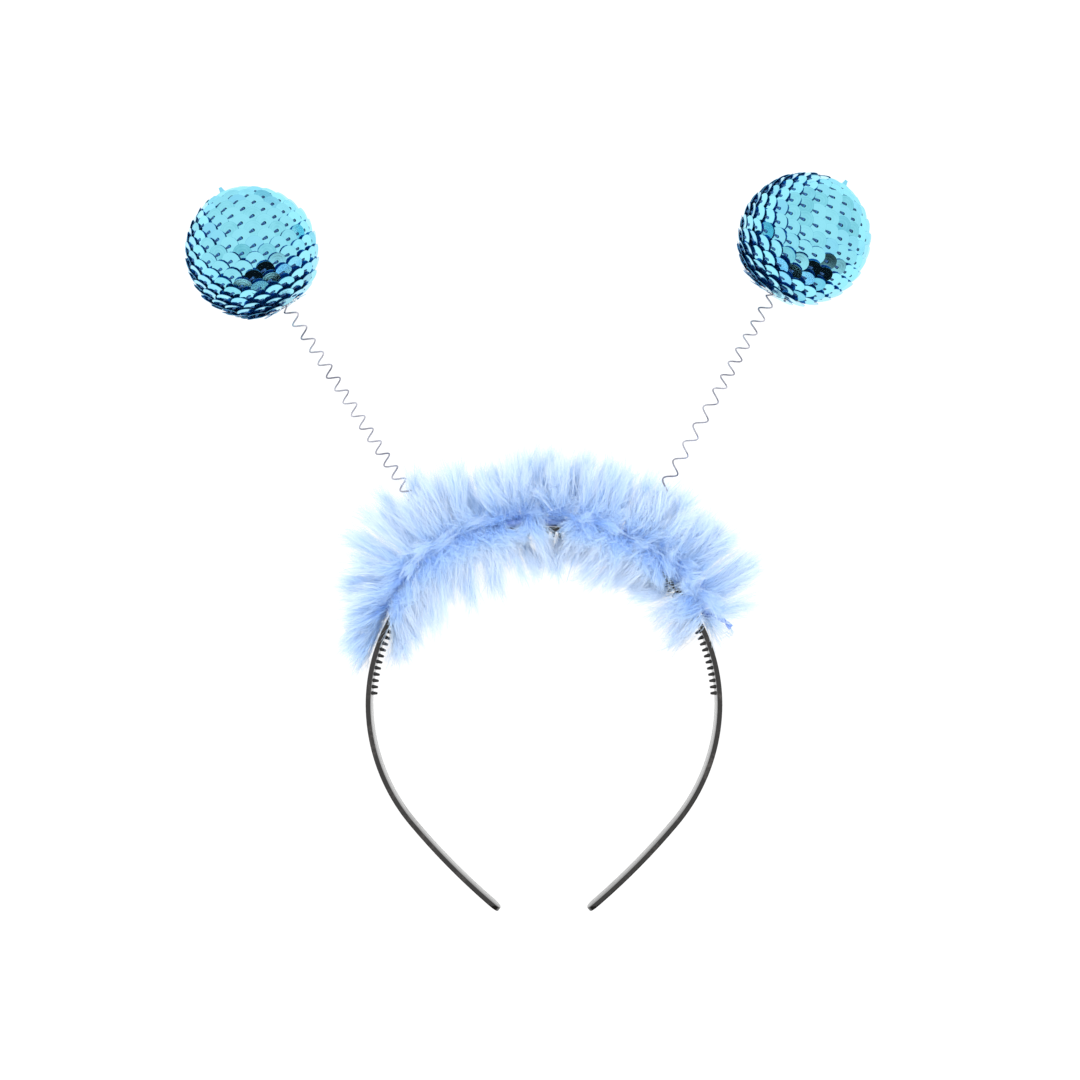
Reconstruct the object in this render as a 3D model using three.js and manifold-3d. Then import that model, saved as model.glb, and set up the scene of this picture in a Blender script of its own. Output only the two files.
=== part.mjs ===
import * as THREE from 'three';
import { mergeVertices } from 'three/addons/utils/BufferGeometryUtils.js';
import Module from 'manifold-3d';

// Head bopper lying flat: a comb headband, two coil springs, two sequin balls and a feather trim.
// Millimetres, +Z up. X runs from one arm of the band to the other, and +Y runs from the tips to
// the crown. Angles round the crown count clockwise from +Y, seen from above.

const wasm = await Module();
wasm.setup();
const { Manifold } = wasm;
const { degToRad, lerp } = THREE.MathUtils;

// Clearance between pieces that touch
const gap = 0.3;

// Headband, measured on its outer face
const crownRadius = 58;
const shoulderRadius = 62;
const shoulderSweep = degToRad(40);
const armRadius = 230;
const armSweep = degToRad(10);
const bandThickness = 1.6;
const crownWidth = 11.5;
const tipWidth = 8;
const tipRounding = 3;
const toothPitch = 2.1;
const toothHeight = 1.8;
const toothBase = 1.5;
const toothReach = degToRad(86.5);
const toothRoot = 0.2;

// Coil springs
const wireDiameter = 0.55;
const coilDiameter = 4.1;
const tailLength = 12;
const footWraps = 2;
const coilPitch = 5;
const leftAngle = degToRad(-32.7);
const leftLength = 94.5;
const rightAngle = degToRad(29);
const rightLength = 92.9;

// Balls and their wound sequins
const foamDiameter = 40;
const sequinDiameter = 6;
const sequinThickness = 0.25;
const sequinRise = 0.6;
const rowSpacing = 4.05;
const stringPitch = 4.45;
const endHoleDiameter = 3.2;
const endTabLength = 2.4;
const endTabThickness = 0.5;

// Feather trim
const trimStart = degToRad(-62);
const trimEnd = degToRad(65);
const outReach = 28;
const inReach = 19;
const upReach = 16;
const endReach = 15;
const lockWidth = 9.5;
const lockThickness = 6.5;
const cordDiameter = 2.4;
const cordSeat = 4;
const cordEndLength = 7;
const lockSeed = 11;

// Smoothness of the round shapes
const crownSteps = 40;
const shoulderSteps = 9;
const armSteps = 5;
const toothSides = 4;
const wireSides = 5;
const stepsPerTurn = 7;
const foamSides = 16;
const bodySteps = 22;
const lockSides = 4;

// Width of the band along each half, from the crown to the tip.
// at: share of the half's length, width: share of the way from the tip's width to the crown's
const widthTable = [
  { at: 0, width: 1 },
  { at: 0.52, width: 0.86 },
  { at: 0.77, width: 0.14 },
  { at: 1, width: 0 },
];

// How far each coil is drawn out, from its ball to its foot.
// at: share of the spring's length, stretch: share of coilPitch
const leftStretch = [
  { at: 0, stretch: 0.99 },
  { at: 1, stretch: 0.948 },
];
const rightStretch = [
  { at: 0, stretch: 0.985 },
  { at: 0.36, stretch: 0.985 },
  { at: 0.4, stretch: 1.325 },
  { at: 0.72, stretch: 1.34 },
  { at: 0.8, stretch: 1.51 },
  { at: 1, stretch: 1.51 },
];

// How far the feathers reach along the trim, from its left end to its right end.
// at: share of the trim, out: share of outReach, inward: share of inReach
const reachTable = [
  { at: 0, out: 0.56, inward: 0.7 },
  { at: 0.1, out: 0.8, inward: 0.78 },
  { at: 0.2, out: 0.92, inward: 0.84 },
  { at: 0.27, out: 0.95, inward: 0.88 },
  { at: 0.34, out: 0.58, inward: 0.9 },
  { at: 0.42, out: 0.76, inward: 1 },
  { at: 0.52, out: 0.9, inward: 0.96 },
  { at: 0.62, out: 0.86, inward: 0.8 },
  { at: 0.72, out: 1, inward: 0.68 },
  { at: 0.84, out: 0.92, inward: 0.68 },
  { at: 0.94, out: 0.84, inward: 0.6 },
  { at: 1, out: 0.76, inward: 0.5 },
];

// Section of the dense inner feathers, over the outer face and the front edge of the band.
// face: which face of the band the distance counts from, away: share of the reach there,
// level: which height the rise counts from, rise: share of upReach above it
const bodySection = [
  { face: 'inner', away: 0, level: 'floor', rise: 0 },
  { face: 'outer', away: 0.34, level: 'floor', rise: 0 },
  { face: 'outer', away: 0.56, level: 'floor', rise: 0.32 },
  { face: 'outer', away: 0.54, level: 'edge', rise: 0.1 },
  { face: 'outer', away: 0.3, level: 'edge', rise: 0.58 },
  { face: 'inner', away: 0.05, level: 'edge', rise: 0.7 },
  { face: 'inner', away: 0.42, level: 'edge', rise: 0.45 },
  { face: 'inner', away: 0.55, level: 'edge', rise: 0.12 },
  { face: 'inner', away: 0.4, level: 'edge', rise: 0 },
];

// Tiers of feather locks round the dense feathers.
// odd: 1 for the odd stations and 0 for the even ones, face to rise: where the lock starts,
// tilt: its slope in degrees, side: +1 out from the crown and -1 in, reach: share of the reach
const lockTiers = [
  { odd: 0, face: 'outer', away: 0.22, level: 'floor', rise: 0.25, tilt: 0, side: 1, reach: 1 },
  { odd: 1, face: 'outer', away: 0.24, level: 'floor', rise: 0.5, tilt: 16, side: 1, reach: 0.97 },
  { odd: 0, face: 'outer', away: 0.2, level: 'edge', rise: 0.12, tilt: 38, side: 1, reach: 0.85 },
  { odd: 1, face: 'outer', away: 0.1, level: 'edge', rise: 0.3, tilt: 68, side: 1, reach: 0.3 },
  { odd: 0, face: 'inner', away: 0.1, level: 'edge', rise: 0.3, tilt: 60, side: -1, reach: 0.5 },
  { odd: 1, face: 'inner', away: 0.2, level: 'edge', rise: 0.3, tilt: 12, side: -1, reach: 1 },
];

// Tufts at both ends of the trim, which point along the band.
// face to rise: where the tuft starts, out: its lean out from the crown, up: its lean upwards
const endTufts = [
  { face: 'outer', away: 0.3, level: 'floor', rise: 0.3, out: 0.35, up: 0 },
  { face: 'outer', away: 0.3, level: 'floor', rise: 0.7, out: 0.1, up: 0.2 },
  { face: 'outer', away: 0.05, level: 'edge', rise: 0.25, out: 0.3, up: 0.5 },
  { face: 'inner', away: 0.2, level: 'edge', rise: 0.28, out: -0.2, up: 0.25 },
];

// Heights and radii that follow from the sizes above
const wireRadius = wireDiameter / 2;
const coilRadius = (coilDiameter - wireDiameter) / 2;
const wrapOffset = gap + wireRadius;
const bandLift = gap + wireDiameter;
const bandInner = crownRadius - bandThickness;
const foamRadius = foamDiameter / 2;
const coverInner = foamRadius + gap;
const coverLow = coverInner + sequinThickness;
const coverOuter = coverLow + sequinRise;
const crownLength = crownRadius * Math.PI / 2;
const shoulderLength = shoulderRadius * shoulderSweep;
const armLength = armRadius * armSweep;
const halfLength = crownLength + shoulderLength + armLength;
const toothCount = 2 * Math.round(bandInner * toothReach / toothPitch);
const toothAngle = 2 * toothReach / (toothCount - 1);
const leftSpring = { angle: leftAngle, length: leftLength, table: leftStretch };
const rightSpring = { angle: rightAngle, length: rightLength, table: rightStretch };

// A seeded series of numbers between 0 and 1
function series(seed) {
  let state = seed;
  return () => {
    state = (state * 16807) % 2147483647;
    return state / 2147483647;
  };
}

// The value of a table's column at a share of its length
function tableValue(table, column, at) {
  const next = Math.max(1, table.findIndex((row) => row.at >= at));
  const low = table[next - 1];
  const high = table[next];
  const share = (at - low.at) / (high.at - low.at);
  return lerp(low[column], high[column], THREE.MathUtils.clamp(share, 0, 1));
}

// Directions at an angle round the crown
function outward(angle) {
  return new THREE.Vector3(Math.sin(angle), Math.cos(angle), 0);
}

function along(angle) {
  return new THREE.Vector3(Math.cos(angle), -Math.sin(angle), 0);
}

function crownPoint(angle, radius, z) {
  return outward(angle).multiplyScalar(radius).setZ(z);
}

// A solid from shared vertices and triangles, turned so that its faces point out
function solidFrom(vertices, triangles) {
  const volume = triangles.reduce((sum, [a, b, c]) => {
    return sum + vertices[a].dot(vertices[b].clone().cross(vertices[c]));
  }, 0);
  const facing = volume < 0 ? triangles.map(([a, b, c]) => [a, c, b]) : triangles;
  return new Manifold(new wasm.Mesh({
    numProp: 3,
    vertProperties: new Float32Array(vertices.flatMap((v) => [v.x, v.y, v.z])),
    triVerts: new Uint32Array(facing.flat()),
  }));
}

// A solid from a closed geometry, with its doubled vertices merged
function solidOf(geometry) {
  const bare = geometry.clone();
  bare.deleteAttribute('normal');
  bare.deleteAttribute('uv');
  const merged = mergeVertices(bare);
  return new Manifold(new wasm.Mesh({
    numProp: 3,
    vertProperties: new Float32Array(merged.attributes.position.array),
    triVerts: new Uint32Array(merged.index.array),
  }));
}

// A geometry from a solid
function geometryOf(solid) {
  const { vertProperties, triVerts } = solid.getMesh();
  const geometry = new THREE.BufferGeometry();
  geometry.setAttribute('position', new THREE.BufferAttribute(vertProperties, 3));
  geometry.setIndex(new THREE.BufferAttribute(triVerts, 1));
  geometry.computeVertexNormals();
  return geometry;
}

// The largest body of a solid that a cut has left in pieces
function mainBody(solid) {
  const bodies = solid.decompose();
  return bodies.reduce((best, body) => (body.volume() > best.volume() ? body : best));
}

// A body through sections of as many points each, closed by its first and last section
function loft(sections, capFaces) {
  const size = sections[0].length;
  const last = (sections.length - 1) * size;
  const triangles = [];
  for (let i = 0; i < last; i += size) {
    for (let j = 0; j < size; j += 1) {
      const k = (j + 1) % size;
      triangles.push([i + j, i + k, i + size + k], [i + j, i + size + k, i + size + j]);
    }
  }
  for (const [a, b, c] of capFaces) {
    triangles.push([a, c, b], [last + a, last + b, last + c]);
  }
  return solidFrom(sections.flat(), triangles);
}

// A pointed lock or tooth: its root is an ellipse and its tip is a point
function spike(root, direction, across, length, width, thickness, sides) {
  const flat = new THREE.Vector3().crossVectors(direction, across).normalize();
  const vertices = [];
  for (let i = 0; i < sides; i += 1) {
    const turn = 2 * Math.PI * i / sides;
    vertices.push(root.clone()
      .addScaledVector(across, Math.cos(turn) * width / 2)
      .addScaledVector(flat, Math.sin(turn) * thickness / 2));
  }
  vertices.push(root.clone().addScaledVector(direction, length));
  const triangles = [];
  for (let i = 0; i < sides; i += 1) {
    triangles.push([i, (i + 1) % sides, sides]);
  }
  for (let i = 1; i < sides - 1; i += 1) {
    triangles.push([0, i + 1, i]);
  }
  return solidFrom(vertices, triangles);
}

// Points of the band's outer face at a distance from the crown, on its right half
function outlineAt(distance) {
  const arcs = [
    { radius: crownRadius, length: crownLength, from: 0 },
    { radius: shoulderRadius, length: shoulderLength, from: Math.PI / 2 },
    { radius: armRadius, length: armLength, from: Math.PI / 2 + shoulderSweep },
  ];
  const centre = new THREE.Vector3();
  let left = distance;
  let arc = arcs[0];
  for (const next of arcs.slice(1)) {
    if (left <= arc.length) {
      break;
    }
    left -= arc.length;
    centre.addScaledVector(outward(next.from), arc.radius - next.radius);
    arc = next;
  }
  const normal = outward(arc.from + left / arc.radius);
  return { point: centre.addScaledVector(normal, arc.radius), normal };
}

function bandWidthAt(distance) {
  return lerp(tipWidth, crownWidth, tableValue(widthTable, 'width', distance / halfLength));
}

// Distances of the band's sections from the crown, closer together at the rounded tip
function sectionDistances() {
  const distances = [];
  for (let i = 0; i <= crownSteps / 2; i += 1) {
    distances.push(crownLength * 2 * i / crownSteps);
  }
  for (let i = 1; i <= shoulderSteps; i += 1) {
    distances.push(crownLength + shoulderLength * i / shoulderSteps);
  }
  for (let i = 1; i <= armSteps; i += 1) {
    distances.push(lerp(crownLength + shoulderLength, halfLength - tipRounding, i / armSteps));
  }
  for (const share of [0.45, 0.78, 1]) {
    distances.push(halfLength - tipRounding * (1 - share));
  }
  return distances;
}

// One section of the band: outer and inner face, rear and front edge
function bandSection(distance, side) {
  const { point, normal } = outlineAt(distance);
  const inTip = Math.max(0, distance - (halfLength - tipRounding));
  const corner = tipRounding - Math.sqrt(tipRounding ** 2 - inTip ** 2);
  const rear = bandLift + corner;
  const front = bandLift + bandWidthAt(distance) - corner;
  const inner = point.clone().addScaledVector(normal, -bandThickness);
  return [[point, rear], [point, front], [inner, front], [inner, rear]]
    .map(([place, z]) => new THREE.Vector3(place.x * side, place.y, z));
}

// The moulded band with its row of teeth along the inner face of the crown
function makeHeadband() {
  const distances = sectionDistances();
  const left = distances.slice(1).reverse().map((distance) => bandSection(distance, -1));
  const right = distances.map((distance) => bandSection(distance, 1));
  const band = loft([...left, ...right], [[0, 1, 2], [0, 2, 3]]);
  const teeth = [];
  for (let i = 0; i < toothCount; i += 1) {
    const angle = (i - (toothCount - 1) / 2) * toothAngle;
    const middle = bandLift + bandWidthAt(crownRadius * Math.abs(angle)) / 2;
    const root = crownPoint(angle, bandInner + toothRoot, middle);
    const inward = outward(angle).negate();
    const up = new THREE.Vector3(0, 0, 1);
    teeth.push(spike(root, inward, up, toothHeight + toothRoot, toothBase, toothBase, toothSides));
  }
  return Manifold.union([band, ...teeth]);
}

// Where a spring's axis runs: from its foot on the band's outer face to the centre of its ball
function springAxis({ angle, length }) {
  const middle = bandLift + bandWidthAt(crownRadius * Math.abs(angle)) / 2;
  const foot = crownPoint(angle, crownRadius, middle);
  const rise = coverOuter - middle;
  const span = Math.sqrt((length + coverOuter) ** 2 - rise ** 2);
  const ball = crownPoint(angle, crownRadius + span, coverOuter);
  const direction = ball.clone().sub(foot).normalize();
  return { foot, ball, direction, middle };
}

// Angles where the foot's wire passes the inner face, each midway between two teeth
function wrapAngles(angle) {
  const first = Math.round(angle / toothAngle);
  return Array.from({ length: footWraps }, (_, i) => (first + i) * toothAngle);
}

// Corner of the band's section that a wrap bends round, as points a wire's offset away
function wrapCorner(angle, radius, z, turns) {
  return turns.map((turn) => crownPoint(
    angle, radius + Math.cos(turn) * wrapOffset, z + Math.sin(turn) * wrapOffset,
  ));
}

// The foot of a spring: its wire wound round the band, from the outer face over the front edge
function footPoints({ angle }, middle) {
  const half = bandWidthAt(crownRadius * Math.abs(angle)) / 2;
  const quarter = Math.PI / 2;
  const points = [];
  const angles = wrapAngles(angle);
  angles.forEach((at, i) => {
    const after = angles[i + 1] ?? at;
    const faces = [
      { radius: crownRadius, z: middle + half, turns: [0, quarter / 2, quarter] },
      { radius: bandInner, z: middle + half, turns: [quarter, 1.5 * quarter, 2 * quarter] },
      { radius: bandInner, z: middle - half, turns: [2 * quarter, 2.5 * quarter, 3 * quarter] },
      { radius: crownRadius, z: middle - half, turns: [3 * quarter, 3.5 * quarter, 4 * quarter] },
    ];
    for (const { radius, z, turns } of faces) {
      points.push(...wrapCorner(at, radius, z, turns));
    }
    points.push(crownPoint((at + after) / 2, crownRadius + wrapOffset, middle - half / 3));
  });
  return points;
}

// The coil of a spring from its ball to its foot, where it ends above its axis
function coilPoints({ table }, { foot, ball, direction }) {
  const across = along(Math.atan2(foot.x, foot.y));
  const up = new THREE.Vector3().crossVectors(across, direction).normalize();
  const end = ball.distanceTo(foot) - wrapOffset - wireDiameter;
  const points = [];
  let distance = end;
  for (let step = 0; distance > coverOuter; step += 1) {
    const turn = -2 * Math.PI * step / stepsPerTurn;
    points.unshift(ball.clone().addScaledVector(direction, -distance)
      .addScaledVector(up, Math.cos(turn) * coilRadius)
      .addScaledVector(across, Math.sin(turn) * coilRadius));
    const at = (distance - coverOuter) / (end - coverOuter);
    distance -= coilPitch * tableValue(table, 'stretch', at) / stepsPerTurn;
  }
  return points;
}

// A path that is stepped at its own points
class WirePath extends THREE.CatmullRomCurve3 {
  getSpacedPoints(divisions) {
    return this.getPoints(divisions);
  }

  getTangentAt(share, target) {
    return this.getTangent(share, target);
  }
}

// A round wire through points
function makeWire(points, radius, sides) {
  const section = Array.from({ length: sides }, (_, i) => {
    const turn = 2 * Math.PI * i / sides;
    return new THREE.Vector2(Math.cos(turn) * radius, Math.sin(turn) * radius);
  });
  return new THREE.ExtrudeGeometry(new THREE.Shape(section), {
    steps: points.length - 1,
    bevelEnabled: false,
    extrudePath: new WirePath(points),
  });
}

// A spring: its tail in the foam, its coil and its foot round the band
function makeSpring(spring) {
  const axis = springAxis(spring);
  const tail = [tailLength, 0].map((depth) => {
    return axis.ball.clone().addScaledVector(axis.direction, depth - foamRadius);
  });
  const points = [...tail, ...coilPoints(spring, axis), ...footPoints(spring, axis.middle)];
  return solidOf(makeWire(points, wireRadius, wireSides));
}

// Angles from the spring's pole that the foam and the inner side of the sequins share
function facetPolars() {
  const springHole = Math.asin((coilDiameter / 2 + gap) / coverLow);
  const endHole = Math.PI - Math.asin(endHoleDiameter / 2 / coverLow);
  const steps = foamSides / 2;
  return Array.from({ length: steps + 1 }, (_, i) => lerp(springHole, endHole, i / steps));
}

// A foam ball, with the hole that the spring's tail is pushed into
function makeFoam() {
  const boreRadius = wireRadius + gap;
  const mouth = Math.asin(boreRadius / foamRadius);
  const depth = gap + tailLength - foamRadius;
  const profile = [new THREE.Vector2(0, depth), new THREE.Vector2(boreRadius, depth)];
  for (const polar of [mouth, ...facetPolars()]) {
    profile.push(new THREE.Vector2(Math.sin(polar) * foamRadius, -Math.cos(polar) * foamRadius));
  }
  profile.push(new THREE.Vector2(0, foamRadius));
  const ball = solidOf(new THREE.LatheGeometry(profile, foamSides));
  return ball.rotate([90, 0, 0]);
}

// A point on a ball, by its angle from the spring's pole and its turn round the axis
function ballPoint(radius, polar, turn) {
  const across = Math.sin(polar) * radius;
  return new THREE.Vector3(
    Math.cos(turn) * across, Math.sin(turn) * across, -Math.cos(polar) * radius,
  );
}

// Triangles between two rings, each given by its first index and its turns round the axis
function stitch(a, b) {
  const triangles = [];
  let i = 0;
  let j = 0;
  while (i < a.turns.length || j < b.turns.length) {
    const nextA = i < a.turns.length ? (a.turns[i + 1] ?? a.turns[0] + 2 * Math.PI) : Infinity;
    const nextB = j < b.turns.length ? (b.turns[j + 1] ?? b.turns[0] + 2 * Math.PI) : Infinity;
    const atA = a.first + i % a.turns.length;
    const atB = b.first + j % b.turns.length;
    if (nextA <= nextB) {
      i += 1;
      triangles.push([atA, atB, a.first + i % a.turns.length]);
    } else {
      j += 1;
      triangles.push([atA, atB, b.first + j % b.turns.length]);
    }
  }
  return triangles;
}

// The rings of a sequin cover: for each row its covered edge and its scalloped free edge,
// then the smooth inner side back to the spring's pole
function coverRings() {
  const polars = facetPolars();
  const springHole = polars[0];
  const covered = polars.at(-1) - springHole;
  const rows = Math.round(covered * coverLow / rowSpacing);
  const rowAngle = covered / rows;
  const halfPitch = stringPitch / 2;
  const sequinRadius = sequinDiameter / 2;
  const scallop = (sequinRadius - Math.sqrt(sequinRadius ** 2 - halfPitch ** 2)) / 2 / coverLow;
  const rings = [];
  for (let row = 0; row < rows; row += 1) {
    const from = springHole + row * rowAngle;
    const around = 2 * Math.PI * coverLow * Math.sin(from + rowAngle / 2);
    const count = Math.max(5, Math.round(around / stringPitch));
    const step = 2 * Math.PI / count;
    const phase = (row % 2) * step / 2;
    const turns = Array.from({ length: count }, (_, i) => phase + i * step);
    rings.push({ turns, points: turns.map((turn) => ballPoint(coverLow, from, turn)) });
    const edge = turns.flatMap((turn) => [
      { turn, polar: from + rowAngle - scallop },
      { turn: turn + step / 2, polar: from + rowAngle + scallop },
    ]);
    rings.push({
      turns: edge.map(({ turn }) => turn),
      points: edge.map(({ turn, polar }) => ballPoint(coverOuter, polar, turn)),
    });
  }
  const turns = Array.from({ length: foamSides }, (_, i) => 2 * Math.PI * i / foamSides);
  for (const polar of polars.reverse()) {
    rings.push({ turns, points: turns.map((turn) => ballPoint(coverInner, polar, turn)) });
  }
  return rings;
}

// The sequins round a ball, wound as one string and open at both poles, with its end tab
function makeSequinCover() {
  const rings = coverRings();
  let first = 0;
  for (const ring of rings) {
    ring.first = first;
    first += ring.points.length;
  }
  const triangles = rings.flatMap((ring, i) => stitch(ring, rings[(i + 1) % rings.length]));
  const shell = solidFrom(rings.flatMap((ring) => ring.points), triangles);
  const tab = new THREE.BoxGeometry(endTabThickness, sequinDiameter / 2, endTabLength + sequinRise);
  tab.translate(endHoleDiameter / 2 + endTabThickness, 0, coverLow + endTabLength / 2);
  return shell.add(solidOf(tab));
}

// A place round the band's section at a share of the trim, as its radius and its height
function trimPlace({ face, away, level, rise }, at) {
  const outer = crownRadius + away * outReach * tableValue(reachTable, 'out', at);
  const inner = bandInner - away * inReach * tableValue(reachTable, 'inward', at);
  return {
    radius: face === 'outer' ? outer : inner,
    z: (level === 'floor' ? 0 : bandLift + crownWidth + gap) + rise * upReach,
  };
}

// The dense feathers, bent over the band along the crown and thinner at both ends
function makeBody() {
  const sections = [];
  for (let i = 0; i <= bodySteps; i += 1) {
    const at = i / bodySteps;
    const angle = lerp(trimStart, trimEnd, at);
    const fullness = Math.min(1, 0.6 + 5 * Math.min(at, 1 - at));
    sections.push(bodySection.map((row) => {
      const { radius, z } = trimPlace({ ...row, away: row.away * fullness }, at);
      return crownPoint(angle, radius, z);
    }));
  }
  const flat = bodySection.map((row) => {
    const { radius, z } = trimPlace(row, 0);
    return new THREE.Vector2(radius, z);
  });
  return loft(sections, THREE.ShapeUtils.triangulateShape(flat, []));
}

// What the feathers keep clear of along the crown: the band and its teeth
function makeBandRoom() {
  const step = (trimEnd - trimStart) / bodySteps;
  const beyond = Math.ceil(endReach / crownRadius / step);
  const inner = bandInner - toothHeight - gap;
  const outer = crownRadius + gap;
  const front = bandLift + crownWidth + gap;
  const sections = [];
  for (let i = -beyond; i <= bodySteps + beyond; i += 1) {
    const angle = trimStart + i * step;
    sections.push([
      crownPoint(angle, inner, -gap),
      crownPoint(angle, outer, -gap),
      crownPoint(angle, outer, front),
      crownPoint(angle, inner, front),
    ]);
  }
  return loft(sections, [[0, 1, 2], [0, 2, 3]]);
}

// A lock that starts at a place of the trim and points in a direction
function lockFrom(place, angle, direction, length) {
  const side = along(angle).addScaledVector(direction, -along(angle).dot(direction));
  const up = new THREE.Vector3(0, 0, 1);
  const across = side.lengthSq() > 0.25 ? side : up.addScaledVector(direction, -direction.z);
  across.normalize();
  const root = crownPoint(angle, place.radius, place.z);
  return spike(root, direction, across, length, lockWidth, lockThickness, lockSides);
}

// One lock of a tier, leaning along the crown near the trim's ends
function makeLock(tier, at, random) {
  const angle = lerp(trimStart, trimEnd, at);
  const place = trimPlace(tier, at);
  const out = tableValue(reachTable, 'out', at) * outReach - (place.radius - crownRadius);
  const inward = tableValue(reachTable, 'inward', at) * inReach - (bandInner - place.radius);
  const reach = tier.side > 0 ? out : inward;
  const tilt = degToRad(tier.tilt);
  const length = Math.max(upReach, reach * tier.reach / Math.cos(tilt));
  const lean = 0.9 * (2 * at - 1) ** 3 + 0.5 * (random() - 0.5);
  const direction = outward(angle).multiplyScalar(tier.side * Math.cos(tilt))
    .addScaledVector(along(angle), lean * Math.cos(tilt))
    .add(new THREE.Vector3(0, 0, Math.sin(tilt)))
    .normalize();
  return lockFrom(place, angle, direction, length * (0.88 + 0.12 * random()));
}

// The tufts of one end of the trim
function makeEndTufts(at) {
  const angle = lerp(trimStart, trimEnd, at);
  return endTufts.map((tuft) => {
    const direction = along(angle).multiplyScalar(Math.sign(at - 0.5))
      .addScaledVector(outward(angle), tuft.out)
      .add(new THREE.Vector3(0, 0, tuft.up))
      .normalize();
    return lockFrom(trimPlace(tuft, at), angle, direction, endReach);
  });
}

// What the feathers keep clear of at a spring: its coil and the wraps of its foot
function springRoom(spring) {
  const { foot, direction } = springAxis(spring);
  const coilRoom = coilDiameter / 2 + gap;
  const length = outReach + endReach;
  const tunnel = new THREE.CylinderGeometry(coilRoom, coilRoom, length, wireSides * 2);
  tunnel.translate(0, length / 2 - bandThickness, 0);
  const turned = new THREE.Quaternion().setFromUnitVectors(new THREE.Vector3(0, 1, 0), direction);
  tunnel.applyQuaternion(turned);
  tunnel.translate(foot.x, foot.y, foot.z);
  const angles = [spring.angle, ...wrapAngles(spring.angle)];
  const low = Math.min(...angles);
  const high = Math.max(...angles);
  const middle = (low + high) / 2;
  const span = (high - low) * crownRadius + 2 * wrapOffset + wireDiameter;
  const width = crownWidth + 4 * wrapOffset + wireDiameter;
  const depth = bandThickness + 2 * coilRoom;
  const pocket = new THREE.BoxGeometry(span, depth, width);
  pocket.rotateZ(-middle);
  const centre = crownPoint(middle, crownRadius - bandThickness / 2, bandLift + crownWidth / 2);
  pocket.translate(centre.x, centre.y, centre.z);
  return solidOf(tunnel).add(solidOf(pocket));
}

// The cut end of the core cord, past the right end of the feathers
function makeCordEnd() {
  const start = crownPoint(trimEnd - toothAngle, crownRadius + gap + cordSeat, bandLift + cordSeat);
  const lean = outward(trimEnd).add(along(trimEnd)).normalize();
  const points = [0, 0.5, 1].map((share) => {
    return start.clone().addScaledVector(lean, share * (cordEndLength + lockWidth));
  });
  return solidOf(makeWire(points, cordDiameter / 2, wireSides));
}

// The feather trim: locks fused to the dense feathers on their cord, clear of the springs
function makeFeatherTrim() {
  const random = series(lockSeed);
  const parts = [makeBody(), makeCordEnd(), ...makeEndTufts(0), ...makeEndTufts(1)];
  for (let i = 0; i <= bodySteps; i += 1) {
    for (const tier of lockTiers.filter(({ odd }) => odd === i % 2)) {
      parts.push(makeLock(tier, i / bodySteps, random));
    }
  }
  const rooms = [makeBandRoom(), springRoom(leftSpring), springRoom(rightSpring)];
  return mainBody(Manifold.union(parts).subtract(Manifold.union(rooms)));
}

const black = { color: 0x26221f, roughness: 0.3, metalness: 0 };
const steel = { color: 0xa5a7b5, roughness: 0.3, metalness: 1 };
const foam = { color: 0xe9eef0, roughness: 0.9, metalness: 0 };
const foil = { color: 0x4ecbe6, roughness: 0.25, metalness: 0.8 };
const feather = { color: 0xa9ccfb, roughness: 0.9, metalness: 0 };

function makeMesh(name, solid, finish) {
  const material = new THREE.MeshStandardMaterial({ ...finish, flatShading: true });
  const mesh = new THREE.Mesh(geometryOf(solid), material);
  mesh.name = name;
  return mesh;
}

// A ball on its spring's axis, with the spring's pole facing the band
function placeBall(spring, side) {
  const { ball, direction } = springAxis(spring);
  const group = new THREE.Group();
  group.position.copy(ball);
  group.quaternion.setFromUnitVectors(new THREE.Vector3(0, 0, 1), direction);
  group.add(makeMesh(`ball_core_${side}`, makeFoam(), foam));
  group.add(makeMesh(`sequin_cover_${side}`, makeSequinCover(), foil));
  return group;
}

// The whole part, moved so that its origin is the centre of its footprint on the floor
function makeHeadBopper() {
  const whole = new THREE.Group();
  whole.add(makeMesh('headband', makeHeadband(), black));
  whole.add(makeMesh('spring_left', makeSpring(leftSpring), steel));
  whole.add(makeMesh('spring_right', makeSpring(rightSpring), steel));
  whole.add(placeBall(leftSpring, 'left'));
  whole.add(placeBall(rightSpring, 'right'));
  whole.add(makeMesh('feather_trim', makeFeatherTrim(), feather));
  const box = new THREE.Box3().setFromObject(whole, true);
  const centre = box.getCenter(new THREE.Vector3());
  whole.position.set(-centre.x, -centre.y, -box.min.z);
  return whole;
}

const group = makeHeadBopper();

export default group;
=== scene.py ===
"""Looks of a head bopper: comb headband, coil springs, sequin balls and a feather trim.

Metres, +Z up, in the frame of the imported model. The head bopper lies flat on a white floor and
the camera looks straight down at it. Angles round the crown count clockwise from +Y.
"""

import logging
import math
from dataclasses import dataclass
from enum import Enum
from typing import Callable, Iterator, Optional, Sequence, Union

import bpy
import numpy as np
from mathutils import Matrix, Vector


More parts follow.
